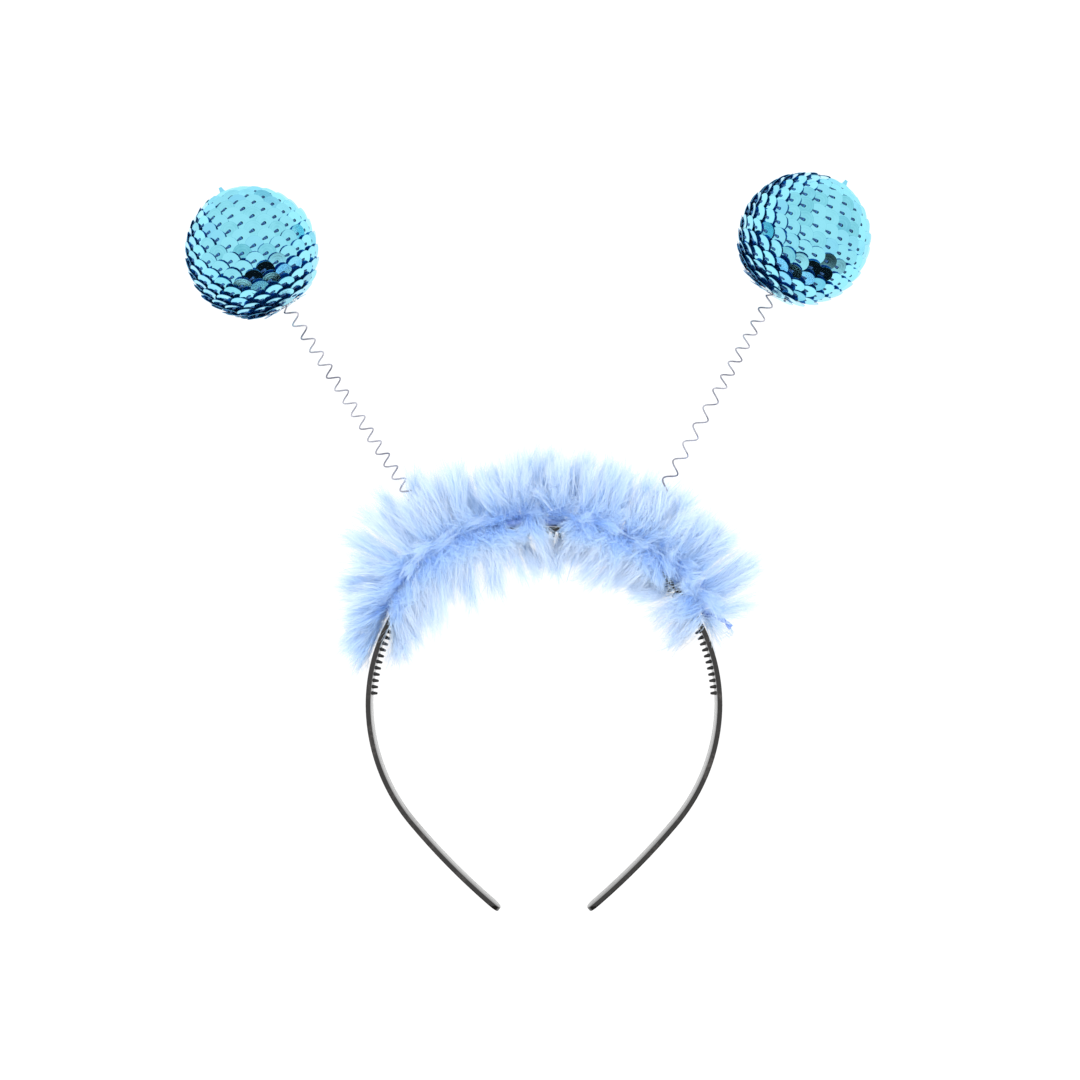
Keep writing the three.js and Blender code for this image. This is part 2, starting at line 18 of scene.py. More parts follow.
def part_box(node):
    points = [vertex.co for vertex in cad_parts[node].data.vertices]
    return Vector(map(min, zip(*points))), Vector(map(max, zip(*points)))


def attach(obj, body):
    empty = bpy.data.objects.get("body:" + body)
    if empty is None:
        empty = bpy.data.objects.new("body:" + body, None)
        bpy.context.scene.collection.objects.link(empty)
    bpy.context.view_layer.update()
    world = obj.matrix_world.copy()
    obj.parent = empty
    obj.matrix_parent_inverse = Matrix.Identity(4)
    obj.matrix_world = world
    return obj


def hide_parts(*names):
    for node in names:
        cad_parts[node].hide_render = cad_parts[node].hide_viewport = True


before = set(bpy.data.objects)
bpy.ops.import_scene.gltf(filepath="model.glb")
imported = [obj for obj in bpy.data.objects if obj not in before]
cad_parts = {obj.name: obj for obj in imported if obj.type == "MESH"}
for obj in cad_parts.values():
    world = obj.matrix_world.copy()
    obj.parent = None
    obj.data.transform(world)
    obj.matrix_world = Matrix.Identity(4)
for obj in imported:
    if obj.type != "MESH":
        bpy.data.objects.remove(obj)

MM = 0.001
NEAR = 0.01 * MM
UP = np.array((0.0, 0.0, 1.0))
BODY = "root"

log = logging.getLogger("head_bopper")

Array = np.ndarray
Random = np.random.Generator
Piece = bpy.types.Object
Material = bpy.types.Material
Colour = tuple[float, float, float, float]
Number = Union[float, "Wire"]
Setting = Union[str, bool, int, float, tuple, list, Vector]
Plume = tuple[Sequence[Array], float]
Lines = tuple[Array, Array, Array]


class Side(Enum):
    """Which half of the head bopper a piece belongs to."""

    LEFT = "left"
    RIGHT = "right"


class Slot(Enum):
    """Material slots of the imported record."""

    BAND = "band_plastic"
    WIRE = "spring_wire"
    FOAM = "foam"
    SEQUIN = "sequin_foil"
    FEATHER = "feather"


SPRING_ANGLES = {Side.LEFT: math.radians(-32.7), Side.RIGHT: math.radians(29)}


# Shader maths.


@dataclass(frozen=True)
class Wire:
    """A node's output, which can be added, multiplied and so on."""

    graph: "Graph"
    socket: bpy.types.NodeSocket

    def math(self, operation: str, first: Number, second: Number = 0.0) -> "Wire":
        """A Math node on two values."""
        return self.graph.node("ShaderNodeMath", {"operation": operation}, {0: first, 1: second})

    def __add__(self, other: Number) -> "Wire":
        """This value plus another."""
        return self.math("ADD", self, other)

    def __mul__(self, other: Number) -> "Wire":
        """This value times another."""
        return self.math("MULTIPLY", self, other)

    __radd__ = __add__
    __rmul__ = __mul__

    def __sub__(self, other: Number) -> "Wire":
        """This value less another."""
        return self.math("SUBTRACT", self, other)

    def __rsub__(self, other: Number) -> "Wire":
        """Another value less this one."""
        return self.math("SUBTRACT", other, self)

    def sine(self) -> "Wire":
        """The sine of this value in radians."""
        return self.math("SINE", self)

    def swing(self, size: float) -> "Wire":
        """How far this value of 0 to 1 is from one half, times a size."""
        return (self - 0.5) * size

    def ramp(self, low: float, high: float) -> "Wire":
        """This value's place between two bounds, kept between 0 and 1."""
        return self.graph.node(
            "ShaderNodeMapRange",
            {"interpolation_type": "SMOOTHSTEP"},
            {"Value": self, "From Min": low, "From Max": high},
        )


class Graph:
    """The node tree of one material."""

    def __init__(self, name: str) -> None:
        """Makes an empty material of that name."""
        self.material = bpy.data.materials.new(name)
        self.material.use_nodes = True
        self.tree = self.material.node_tree
        self.tree.nodes.clear()

    def node(
        self,
        kind: str,
        settings: Optional[dict[str, Setting]] = None,
        inputs: Optional[dict] = None,
        output: Union[int, str] = 0,
    ) -> Wire:
        """Adds a node.

        Args:
            kind: Blender's name for the node's type.
            settings: properties, set first; "stops" are a ramp's places and colours.
            inputs: values or links of its sockets, by number or name.
            output: which of its outputs is wanted.

        Returns:
            The output as a wire.
        """
        made = self.tree.nodes.new(kind)
        for name, value in (settings or {}).items():
            if name == "stops":
                stops = made.color_ramp.elements
                while len(stops) < len(value):
                    stops.new(0.5)
                for stop, (place, colour) in zip(stops, value):
                    stop.position = place
                    stop.color = colour
            else:
                setattr(made, name, value)
        for key, value in (inputs or {}).items():
            if isinstance(value, Wire):
                self.tree.links.new(value.socket, made.inputs[key])
            else:
                made.inputs[key].default_value = value
        return Wire(self, made.outputs[output])

    def place(self) -> Wire:
        """The piece's own object coordinates."""
        return self.node("ShaderNodeTexCoord", output="Object")

    def attribute(self, name: str) -> Wire:
        """A number stored on the mesh."""
        settings = {"attribute_type": "GEOMETRY", "attribute_name": name}
        return self.node("ShaderNodeAttribute", settings, output="Fac")

    def noise(self, scale: float, detail: float = 3.0) -> Wire:
        """Noise of a scale, in waves to the metre."""
        inputs = {"Vector": self.place(), "Scale": scale, "Detail": detail}
        return self.node("ShaderNodeTexNoise", None, inputs, "Fac")

    def distance(self, place: Wire, centre: tuple[float, float, float]) -> Wire:
        """How far a place is from a fixed point."""
        inputs = {0: place, 1: centre}
        return self.node("ShaderNodeVectorMath", {"operation": "DISTANCE"}, inputs, "Value")

    def mix(self, share: Number, first: Union[Colour, Wire], second: Union[Colour, Wire]) -> Wire:
        """A blend of two colours."""
        inputs = {0: share, 6: first, 7: second}
        return self.node("ShaderNodeMix", {"data_type": "RGBA"}, inputs, 2)

    def bump(self, height: Number, distance: float) -> Wire:
        """A normal that follows a height."""
        inputs = {"Height": height, "Distance": distance, "Strength": 1.0}
        return self.node("ShaderNodeBump", None, inputs, "Normal")

    def principled(self, inputs: dict[str, Union[Number, Colour]]) -> Wire:
        """A Principled shader."""
        return self.node("ShaderNodeBsdfPrincipled", None, inputs)

    def blend(self, share: float, first: Wire, second: Wire) -> Wire:
        """A blend of two shaders."""
        return self.node("ShaderNodeMixShader", None, {0: share, 1: first, 2: second})

    def close(self, shader: Wire) -> Material:
        """Joins a shader to the output and gives the material."""
        output = self.tree.nodes.new("ShaderNodeOutputMaterial")
        self.tree.links.new(shader.socket, output.inputs["Surface"])
        return self.material


# Finishes.


def linear(red: int, green: int, blue: int) -> Colour:
    """A linear colour from red, green and blue of 0 to 255."""
    values = [channel / 255 for channel in (red, green, blue)]
    channels = [v / 12.92 if v <= 0.04045 else ((v + 0.055) / 1.055) ** 2.4 for v in values]
    return (*channels, 1.0)


@dataclass(frozen=True)
class Finish:
    """A procedural material."""

    name: str

    def surface(self, graph: Graph) -> Wire:
        """The shader of this finish."""
        raise NotImplementedError

    def build(self) -> Material:
        """Makes the material."""
        graph = Graph(self.name)
        return graph.close(self.surface(graph))


@dataclass(frozen=True)
class MouldedPlastic(Finish):
    """Glossy black plastic with flow marks, fine scratches and worn highlights."""

    name: str = "band_plastic_gloss"
    body: Colour = linear(22, 20, 19)
    worn: Colour = linear(62, 58, 56)
    flow_scale: float = 90.0
    scratch_scale: float = 900.0
    wear_bounds: tuple[float, float] = (0.5, 0.72)
    roughness: float = 0.2
    relief: float = 0.06 * MM

    def surface(self, graph: Graph) -> Wire:
        """The shader of this finish."""
        flow = graph.noise(self.flow_scale)
        scratch = graph.noise(self.scratch_scale, 6.0)
        wear = (flow * 0.6 + scratch * 0.4).ramp(*self.wear_bounds)
        return graph.principled(
            {
                "Base Color": graph.mix(wear, self.body, self.worn),
                "Roughness": self.roughness + 0.16 * wear,
                "Specular IOR Level": 0.3,
                "Coat Weight": 0.5 - 0.15 * wear,
                "Coat Roughness": 0.06,
                "Normal": graph.bump(flow * 0.7 + scratch * 0.3, self.relief),
            }
        )


@dataclass(frozen=True)
class DrawnSteel(Finish):
    """Bright drawn wire with die lines and dull spots."""

    name: str = "spring_wire_steel"
    bright: Colour = linear(190, 190, 201)
    dull: Colour = linear(142, 142, 156)
    line_scale: float = 1400.0
    spot_scale: float = 160.0
    spot_bounds: tuple[float, float] = (0.42, 0.68)
    roughness: float = 0.24
    relief: float = 0.02 * MM

    def surface(self, graph: Graph) -> Wire:
        """The shader of this finish."""
        spots = graph.noise(self.spot_scale).ramp(*self.spot_bounds)
        return graph.principled(
            {
                "Base Color": graph.mix(spots, self.bright, self.dull),
                "Metallic": 1.0,
                "Roughness": self.roughness + 0.2 * spots,
                "Normal": graph.bump(graph.noise(self.line_scale, 4.0), self.relief),
            }
        )


@dataclass(frozen=True)
class SequinFoil(Finish):
    """Metallised film stamped with faint rings; its underside is dark blue, partly the film's own
    back and partly painted shade for the gaps between sequins.
    """

    name: str = "sequin_foil_cyan"
    bright: Colour = linear(148, 230, 247)
    teal: Colour = linear(98, 188, 206)
    blue: Colour = linear(70, 160, 240)
    # The underside's colour: partly the film's own back, partly painted shade that darkens the gaps
    # between sequins.
    under: Colour = linear(30, 108, 184)
    rings: float = 3.0
    grain_scale: float = 5200.0
    patch_scale: float = 420.0
    rim_shade_bounds: tuple[float, float] = (0.9, 1.0)
    roughness: float = 0.07
    relief: float = 0.008 * MM

    def surface(self, graph: Graph) -> Wire:
        """The shader of this finish."""
        radius = graph.attribute("radius")
        under = graph.attribute("under")
        ring = (radius * (2 * math.pi * self.rings)).sine() * 0.5 + 0.5
        grain = graph.noise(self.grain_scale, 2.0)
        shade = graph.attribute("tone") + graph.noise(self.patch_scale).swing(0.5)
        shade = shade + ring.swing(0.12) + grain.swing(0.25)
        # Painted shade: each sequin turns darker teal towards its rim, like shade along its edge.
        shade = shade + radius.ramp(*self.rim_shade_bounds) * 0.3
        face = graph.mix(shade.ramp(0.0, 1.0), self.bright, self.teal)
        face = graph.mix(graph.attribute("blue"), face, self.blue)
        return graph.principled(
            {
                # Painted shade: the underside is coloured dark blue and made less metallic, so the
                # gaps between sequins read dark.
                "Base Color": graph.mix(under, face, self.under),
                "Metallic": 1.0 - 0.4 * under,
                "Roughness": self.roughness + 0.06 * grain,
                "Normal": graph.bump(ring * 0.25 + grain * 0.75, self.relief),
            }
        )


@dataclass(frozen=True)
class Thread(Finish):
    """Twisted sewing thread, or the core cord of the trim."""

    dark: Colour
    light: Colour
    twist_scale: float = 2600.0
    light_bounds: tuple[float, float] = (0.35, 0.85)
    roughness: float = 0.6
    relief: float = 0.08 * MM

    def surface(self, graph: Graph) -> Wire:
        """The shader of this finish."""
        fibre = graph.noise(self.twist_scale, 4.0)
        # Painted light: the thread is painted lighter where it fills a sequin's hole, against the
        # shade there; its tail keeps the darker colour.
        share = (fibre + graph.attribute("hole") * 0.3).ramp(*self.light_bounds)
        return graph.principled(
            {
                "Base Color": graph.mix(share, self.dark, self.light),
                "Roughness": self.roughness + 0.2 * fibre,
                "Normal": graph.bump(fibre, self.relief),
            }
        )


@dataclass(frozen=True)
class BeadedFoam(Finish):
    """Foam of small fused beads, coloured dark navy as painted shade under the sequins that cover
    it.
    """

    name: str = "ball_foam_beads"
    # Painted shade: the bead and seam colours are dark navy, the shade seen in the gaps between
    # sequins.
    bead: Colour = linear(40, 98, 152)
    seam: Colour = linear(12, 44, 86)
    bead_scale: float = 700.0
    seam_bounds: tuple[float, float] = (0.3, 0.7)
    roughness: float = 0.85
    relief: float = 0.2 * MM

    def surface(self, graph: Graph) -> Wire:
        """The shader of this finish."""
        inputs = {"Vector": graph.place(), "Scale": self.bead_scale}
        cells = graph.node("ShaderNodeTexVoronoi", {"feature": "F1"}, inputs, "Distance")
        return graph.principled(
            {
                "Base Color": graph.mix(cells.ramp(*self.seam_bounds), self.bead, self.seam),
                "Roughness": self.roughness + 0.1 * cells,
                "Normal": graph.bump(1.0 - cells, self.relief),
            }
        )


@dataclass(frozen=True, kw_only=True)
class Down(Finish):
    """Dyed marabou down: deep at its root, nearly white at its tips, and lit from behind; strands
    lower down are painted deeper blue as shade.
    """

    crown: float
    centre: tuple[float, float, float]
    name: str = "feather_down_blue"
    root: Colour = linear(150, 196, 252)
    middle: Colour = linear(212, 234, 254)
    tip: Colour = linear(242, 247, 252)
    glow: Colour = linear(222, 238, 255)
    through: float = 0.54
    middle_place: float = 0.38
    patch_scale: float = 140.0
    deep_width: float = 1.5 * MM
    outer_fade: float = 15.5 * MM
    inner_fade: float = 9 * MM
    painted_shade_height: float = 24 * MM
    roughness: float = 0.75

    def surface(self, graph: Graph) -> Wire:
        """The shader of this finish."""
        patch = graph.noise(self.patch_scale)
        inputs = {0: graph.place(), 1: (1, 1, 0)}
        flat = graph.node("ShaderNodeVectorMath", {"operation": "MULTIPLY"}, inputs, "Vector")
        distance = graph.distance(flat, self.centre)
        outside = distance.ramp(self.crown + self.deep_width, self.crown + self.outer_fade)
        inside = 1.0 - distance.ramp(self.crown - self.inner_fade, self.crown)
        height = graph.node("ShaderNodeSeparateXYZ", None, {"Vector": graph.place()}, "Z")
        reach = graph.attribute("along") * 0.5 + (outside + inside) * 0.5
        # Painted shade: strands lower down turn deeper blue, higher ones paler.
        reach = reach + height.ramp(0.0, self.painted_shade_height).swing(0.26)
        reach = reach + graph.attribute("tint").swing(0.36) + patch.swing(0.3)
        stops = [(0.0, self.root), (self.middle_place, self.middle), (1.0, self.tip)]
        down = graph.principled(
            {
                "Base Color": graph.node(
                    "ShaderNodeValToRGB", {"stops": stops}, {"Fac": reach}, "Color"
                ),
                "Roughness": self.roughness + 0.15 * patch,
                "Specular IOR Level": 0.15,
                "Sheen Weight": 0.1,
                "Sheen Roughness": 0.4,
            }
        )
        glow = graph.node("ShaderNodeBsdfTranslucent", None, {"Color": self.glow})
        return graph.blend(self.through, down, glow)


# Meshes.


def look_at_only(piece: Piece) -> None:
    """Selects one object alone and makes it active."""
    bpy.ops.object.select_all(action="DESELECT")
    piece.select_set(True)
    bpy.context.view_layer.objects.active = piece


def edit(piece: Piece, selected: bool = False) -> None:
    """Opens a piece in edit mode with all or nothing selected."""
    look_at_only(piece)
    bpy.ops.object.mode_set(mode="EDIT")
    bpy.ops.mesh.select_mode(type="VERT")
    bpy.ops.mesh.select_all(action="SELECT" if selected else "DESELECT")


def done() -> None:
    """Leaves edit mode."""
    bpy.ops.object.mode_set(mode="OBJECT")


def select_where(piece: Piece, kind: str, test: Callable) -> None:
    """Opens a piece in edit mode with some of its elements selected.

    Args:
        piece: the piece.
        kind: VERT, EDGE or FACE.
        test: says of one element whether it is selected.
    """
    edit(piece)
    bpy.ops.mesh.select_mode(type=kind)
    done()
    mesh = piece.data
    for element in {"VERT": mesh.vertices, "EDGE": mesh.edges, "FACE": mesh.polygons}[kind]:
        element.select = test(element)
    bpy.ops.object.mode_set(mode="EDIT")


def apply_modifier(piece: Piece, kind: str, **settings: Setting) -> None:
    """Adds a modifier and applies it."""
    look_at_only(piece)
    modifier = piece.modifiers.new(kind.title(), kind)
    for name, value in settings.items():
        setattr(modifier, name, value)
    bpy.ops.object.modifier_apply(modifier=modifier.name)


def apply_place(piece: Piece) -> None:
    """Moves a piece's place, turn and scale into its mesh."""
    look_at_only(piece)
    bpy.ops.object.transform_apply(location=True, rotation=True, scale=True)


def smooth(piece: Piece, degrees: float) -> None:
    """Shades a piece smooth but for edges sharper than an angle."""
    look_at_only(piece)
    bpy.ops.object.shade_smooth_by_angle(angle=math.radians(degrees))


def turn_outwards(piece: Piece) -> None:
    """Makes a closed piece's faces point outwards."""
    edit(piece, selected=True)
    bpy.ops.mesh.remove_doubles(threshold=0.001 * MM)
    bpy.ops.mesh.normals_make_consistent(inside=False)
    done()


def put(piece: Piece, place: Vector, way: Vector) -> None:
    """Puts an object somewhere with its Z axis turned a way."""
    piece.rotation_mode = "QUATERNION"
    piece.rotation_quaternion = way.to_track_quat("Z", "Y")
    piece.location = place


def add_shape(add: Callable, name: str, **settings: Setting) -> Piece:
    """Adds a primitive by its operator, with nothing else selected, and names it."""
    bpy.ops.object.select_all(action="DESELECT")
    add(**settings)
    piece = bpy.context.active_object
    piece.name = name
    return piece


def add_sheet(name: str, width: float, depth: float, cuts: int = 0, height: float = 0) -> Piece:
    """A flat sheet over the origin, cut into smaller faces."""
    sheet = add_shape(bpy.ops.mesh.primitive_plane_add, name, size=1, location=(0, 0, height))
    edit(sheet, selected=True)
    bpy.ops.transform.resize(value=(width, depth, 1), center_override=(0, 0, 0))
    if cuts:
        bpy.ops.mesh.subdivide(number_cuts=cuts)
    done()
    return sheet


def points_of(mesh: bpy.types.Mesh) -> Array:
    """A mesh's vertices, n by 3."""
    points = np.empty(len(mesh.vertices) * 3, np.float32)
    mesh.vertices.foreach_get("co", points)
    return points.reshape(-1, 3).astype(float)


def add_numbers(mesh: bpy.types.Mesh, name: str, values: Array) -> None:
    """Stores a number on each vertex."""
    layer = mesh.attributes.new(name, "FLOAT", "POINT")
    layer.data.foreach_set("value", np.ascontiguousarray(values, np.float32).ravel())


def mesh_of(name: str, points: Array, faces: Array) -> Piece:
    """A smoothly shaded object from arrays.

    Args:
        name: the piece's name.
        points: vertices, n by 3.
        faces: vertex numbers, m by the corners of a face.

    Returns:
        The new object, linked to the scene.
    """
    mesh = bpy.data.meshes.new(name)
    corners = faces.shape[1]
    mesh.vertices.add(len(points))
    mesh.vertices.foreach_set("co", np.ascontiguousarray(points, np.float32).ravel())
    mesh.loops.add(faces.size)
    mesh.loops.foreach_set("vertex_index", faces.astype(np.int32).ravel())
    mesh.polygons.add(len(faces))
    mesh.polygons.foreach_set("loop_start", np.arange(0, faces.size, corners, dtype=np.int32))
    mesh.polygons.foreach_set("use_smooth", np.full(len(faces), True))
    mesh.update(calc_edges=True)
    piece = bpy.data.objects.new(name, mesh)
    bpy.context.scene.collection.objects.link(piece)
    return piece


def copies(name: str, pattern: Piece, places: Sequence[Matrix], **numbers: Array) -> Piece:
    """Copies a modelled pattern to many places as one joined piece, and removes the pattern.

    Args:
        name: the new piece's name.
        pattern: the object that repeats.
        places: one matrix for each copy.
        **numbers: for each attribute's name, a number for each copy.

    Returns:
        The joined piece, with the pattern's own attributes repeated.
    """
    apply_modifier(pattern, "TRIANGULATE")
    source = pattern.data
    count = len(source.vertices)
    base = np.column_stack([points_of(source), np.ones(count)])
    corners = np.empty(len(source.polygons) * 3, np.int32)
    source.polygons.foreach_get("vertices", corners)
    turns = np.array([[list(row) for row in place][:3] for place in places])
    points = np.einsum("kij,nj->kni", turns, base).reshape(-1, 3)
    starts = np.arange(len(places))[:, None] * count
    piece = mesh_of(name, points, (corners[None, :] + starts).reshape(-1, 3))
    for layer in source.attributes:
        if layer.data_type == "FLOAT" and layer.domain == "POINT":
            values = np.empty(count, np.float32)
            layer.data.foreach_get("value", values)
            add_numbers(piece.data, layer.name, np.tile(values, len(places)))
    for key, values in numbers.items():
        add_numbers(piece.data, key, np.repeat(values, count))
    bpy.data.objects.remove(pattern)
    return piece


def wire_along(name: str, points: Sequence[Vector], radius: float, sides: int) -> Piece:
    """A round wire through points, closed at both ends."""
    piece = add_shape(bpy.ops.curve.primitive_nurbs_path_add, name, location=(0, 0, 0))
    curve = piece.data
    curve.splines.clear()
    spline = curve.splines.new("POLY")
    spline.points.add(len(points) - 1)
    for point, place in zip(spline.points, points):
        point.co = (*place, 1.0)
    curve.twist_mode = "MINIMUM"
    curve.dimensions = "3D"
    curve.bevel_depth = radius
    curve.bevel_resolution = max(0, sides // 2 - 2)
    curve.use_fill_caps = True
    look_at_only(piece)
    bpy.ops.object.convert(target="MESH")
    piece = bpy.context.active_object
    piece.data.name = name
    turn_outwards(piece)
    smooth(piece, 50)
    return piece


def dress(piece: Piece, material: Material, slot: Slot, *nodes: str) -> None:
    """Gives a piece its material and its body, and hides the imported nodes that it stands for."""
    piece.data.materials.clear()
    piece.data.materials.append(material)
    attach(piece, BODY)
    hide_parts(*nodes)
    log.info("%s: %d faces", piece.name, len(piece.data.polygons))


# The band and the springs on it.


@dataclass(frozen=True)
class BandShape:
    """Sizes of the headband, measured on its outer face."""

    centre: Vector
    crown_radius: float
    lift: float
    shoulder_radius: float = 62 * MM
    shoulder_sweep: float = math.radians(40)
    arm_radius: float = 230 * MM
    arm_sweep: float = math.radians(10)
    thickness: float = 1.6 * MM
    crown_width: float = 11.5 * MM
    tip_width: float = 8 * MM
    tip_rounding: float = 3 * MM
    width_shares: tuple = ((0.0, 1.0), (0.52, 0.86), (0.77, 0.14), (1.0, 0.0))

    @classmethod
    def from_frame(cls) -> "BandShape":
        """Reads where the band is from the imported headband."""
        low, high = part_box("headband")
        radius = (high.x - low.x) / 2
        centre = Vector(((high.x + low.x) / 2, high.y - radius, 0))
        return cls(centre, radius, low.z)

    @property
    def inner_radius(self) -> float:
        """Radius of the crown's inner face."""
        return self.crown_radius - self.thickness

    @property
    def top(self) -> float:
        """Height of the crown's front edge."""
        return self.lift + self.crown_width

    @property
    def half_length(self) -> float:
        """Length of the outer face from the crown to a tip."""
        crown = self.crown_radius * math.pi / 2
        return crown + self.shoulder_radius * self.shoulder_sweep + self.arm_radius * self.arm_sweep

    def width(self, distance: float) -> float:
        """Width of the band at a distance from the crown."""
        places, shares = zip(*self.width_shares)
        share = float(np.interp(distance / self.half_length, places, shares))
        return self.tip_width + (self.crown_width - self.tip_width) * share

    def half_width(self, angle: float) -> float:
        """Half the width of the band at an angle."""
        return self.width(self.crown_radius * abs(angle)) / 2

    def outward(self, angle: float) -> Vector:
        """Direction away from the crown's centre at an angle."""
        return Vector((math.sin(angle), math.cos(angle), 0))

    def along(self, angle: float) -> Vector:
        """Direction along the crown at an angle, clockwise from above."""
        return Vector((math.cos(angle), -math.sin(angle), 0))

    def point(self, angle: float, radius: float, height: float) -> Vector:
        """A point by its angle and distance from the crown's centre and its height."""
        return self.centre + self.outward(angle) * radius + Vector((0, 0, height))


@dataclass
class Headband:
    """The moulded band and the comb teeth on the inner face of its crown."""

    shape: BandShape
    crown_steps: int = 48
    shoulder_steps: int = 20
    arm_steps: int = 9
    edge_rounding: float = 0.28 * MM
    tooth_pitch: float = 2.1 * MM
    tooth_height: float = 1.8 * MM
    tooth_base: float = 1.5 * MM
    tooth_top_share: float = 0.48
    tooth_rounding_share: float = 0.17
    tooth_reach: float = math.radians(86.5)
    tooth_root: float = 0.3 * MM

    @property
    def tooth_count(self) -> int:
        """How many teeth the crown carries."""
        return 2 * round(self.shape.inner_radius * self.tooth_reach / self.tooth_pitch)

    @property
    def tooth_angle(self) -> float:
        """Angle from one tooth to the next."""
        return 2 * self.tooth_reach / (self.tooth_count - 1)

    def spin_half(self) -> Piece:
        """Spins the section from the crown to the right tip, narrowing it step by step."""
        shape = self.shape
        height = shape.lift + shape.crown_width / 2
        middle = Vector((0, shape.crown_radius - shape.thickness / 2, height))
        band = add_shape(
            bpy.ops.mesh.primitive_plane_add,
            "headband_band",
            size=1,
            location=middle,
            rotation=(0, math.pi / 2, 0),
        )
        apply_place(band)
        edit(band, selected=True)
        size = (1, shape.thickness, shape.crown_width)
        bpy.ops.transform.resize(value=size, center_override=middle)
        arcs = (
            (shape.crown_radius, math.pi / 2, self.crown_steps),
            (shape.shoulder_radius, shape.shoulder_sweep, self.shoulder_steps),
            (shape.arm_radius, shape.arm_sweep, self.arm_steps),
        )
        centre = Vector((0, 0, 0))
        turned = 0.0
        distance = 0.0
        last_radius = shape.crown_radius
        width = shape.crown_width
        for radius, sweep, steps in arcs:
            centre += shape.outward(turned) * (last_radius - radius)
            last_radius = radius
            angle = sweep / steps
            for _ in range(steps):
                bpy.ops.mesh.spin(steps=1, angle=angle, center=centre, axis=(0, 0, 1))
                turned += angle
                distance += radius * angle
                wanted = shape.width(distance)
                narrowing = (1, 1, wanted / width)
                bpy.ops.transform.resize(value=narrowing, center_override=(0, 0, shape.lift))
                width = wanted
        done()
        return band

    def round_tip(self, band: Piece) -> None:
        """Rounds the corners of the tip and opens the crown's end for the mirror."""
        tip = min(band.data.polygons, key=lambda face: face.center.y)
        corners = set(tip.vertices)

        def crosses_tip(edge: bpy.types.MeshEdge) -> bool:
            """Whether an edge of the tip runs across the band's thickness."""
            a, b = (band.data.vertices[v].co for v in edge.vertices)
            return set(edge.vertices) <= corners and abs(a.z - b.z) < NEAR

        def closes_crown(face: bpy.types.MeshPolygon) -> bool:
            """Whether a face closes the band at the mirror's plane."""
            return abs(face.center.x) < NEAR and abs(face.normal.x) > 0.9

        select_where(band, "EDGE", crosses_tip)
        bpy.ops.mesh.bevel(offset=self.shape.tip_rounding, segments=7, affect="EDGES")
        done()
        select_where(band, "FACE", closes_crown)
        bpy.ops.mesh.delete(type="ONLY_FACE")
        done()

    def build_band(self, finish: Material) -> None:
        """Makes the whole band from its half."""
        band = self.spin_half()
        self.round_tip(band)
        apply_modifier(band, "MIRROR", use_axis=(True, False, False), merge_threshold=NEAR)
        turn_outwards(band)
        apply_modifier(
            band,
            "BEVEL",
            width=self.edge_rounding,
            segments=3,
            limit_method="ANGLE",
            angle_limit=math.radians(50),
        )
        band.location = self.shape.centre
        apply_place(band)
        smooth(band, 35)
        dress(band, finish, Slot.BAND, "headband")

    def build_teeth(self, finish: Material) -> None:
        """Makes one blunt tooth and copies it along the crown."""
        shape = self.shape
        depth = self.tooth_height + self.tooth_root
        tooth = add_shape(
            bpy.ops.mesh.primitive_cone_add,
            "tooth_pattern",
            vertices=12,
            radius1=self.tooth_base / 2,
            radius2=self.tooth_base / 2 * self.tooth_top_share,
            depth=depth,
            end_fill_type="NGON",
            location=(0, 0, depth / 2),
        )
        apply_place(tooth)

        def is_on_top(edge: bpy.types.MeshEdge) -> bool:
            """Whether an edge belongs to the tooth's top."""
            return all(tooth.data.vertices[v].co.z > depth * 0.9 for v in edge.vertices)

        select_where(tooth, "EDGE", is_on_top)
        rounding = self.tooth_base * self.tooth_rounding_share
        bpy.ops.mesh.bevel(offset=rounding, segments=3, affect="EDGES")
        done()
        places = []
        for i in range(self.tooth_count):
            angle = (i - (self.tooth_count - 1) / 2) * self.tooth_angle
            middle = shape.lift + shape.half_width(angle)
            root = shape.point(angle, shape.inner_radius + self.tooth_root, middle)
            turn = (-shape.outward(angle)).to_track_quat("Z", "Y").to_matrix().to_4x4()
            places.append(Matrix.Translation(root) @ turn)
        teeth = copies("headband_teeth", tooth, places)
        smooth(teeth, 50)
        dress(teeth, finish, Slot.BAND, "headband")

    def build(self) -> None:
        """Makes the band and its teeth."""
        finish = MouldedPlastic().build()
        self.build_band(finish)
        self.build_teeth(finish)


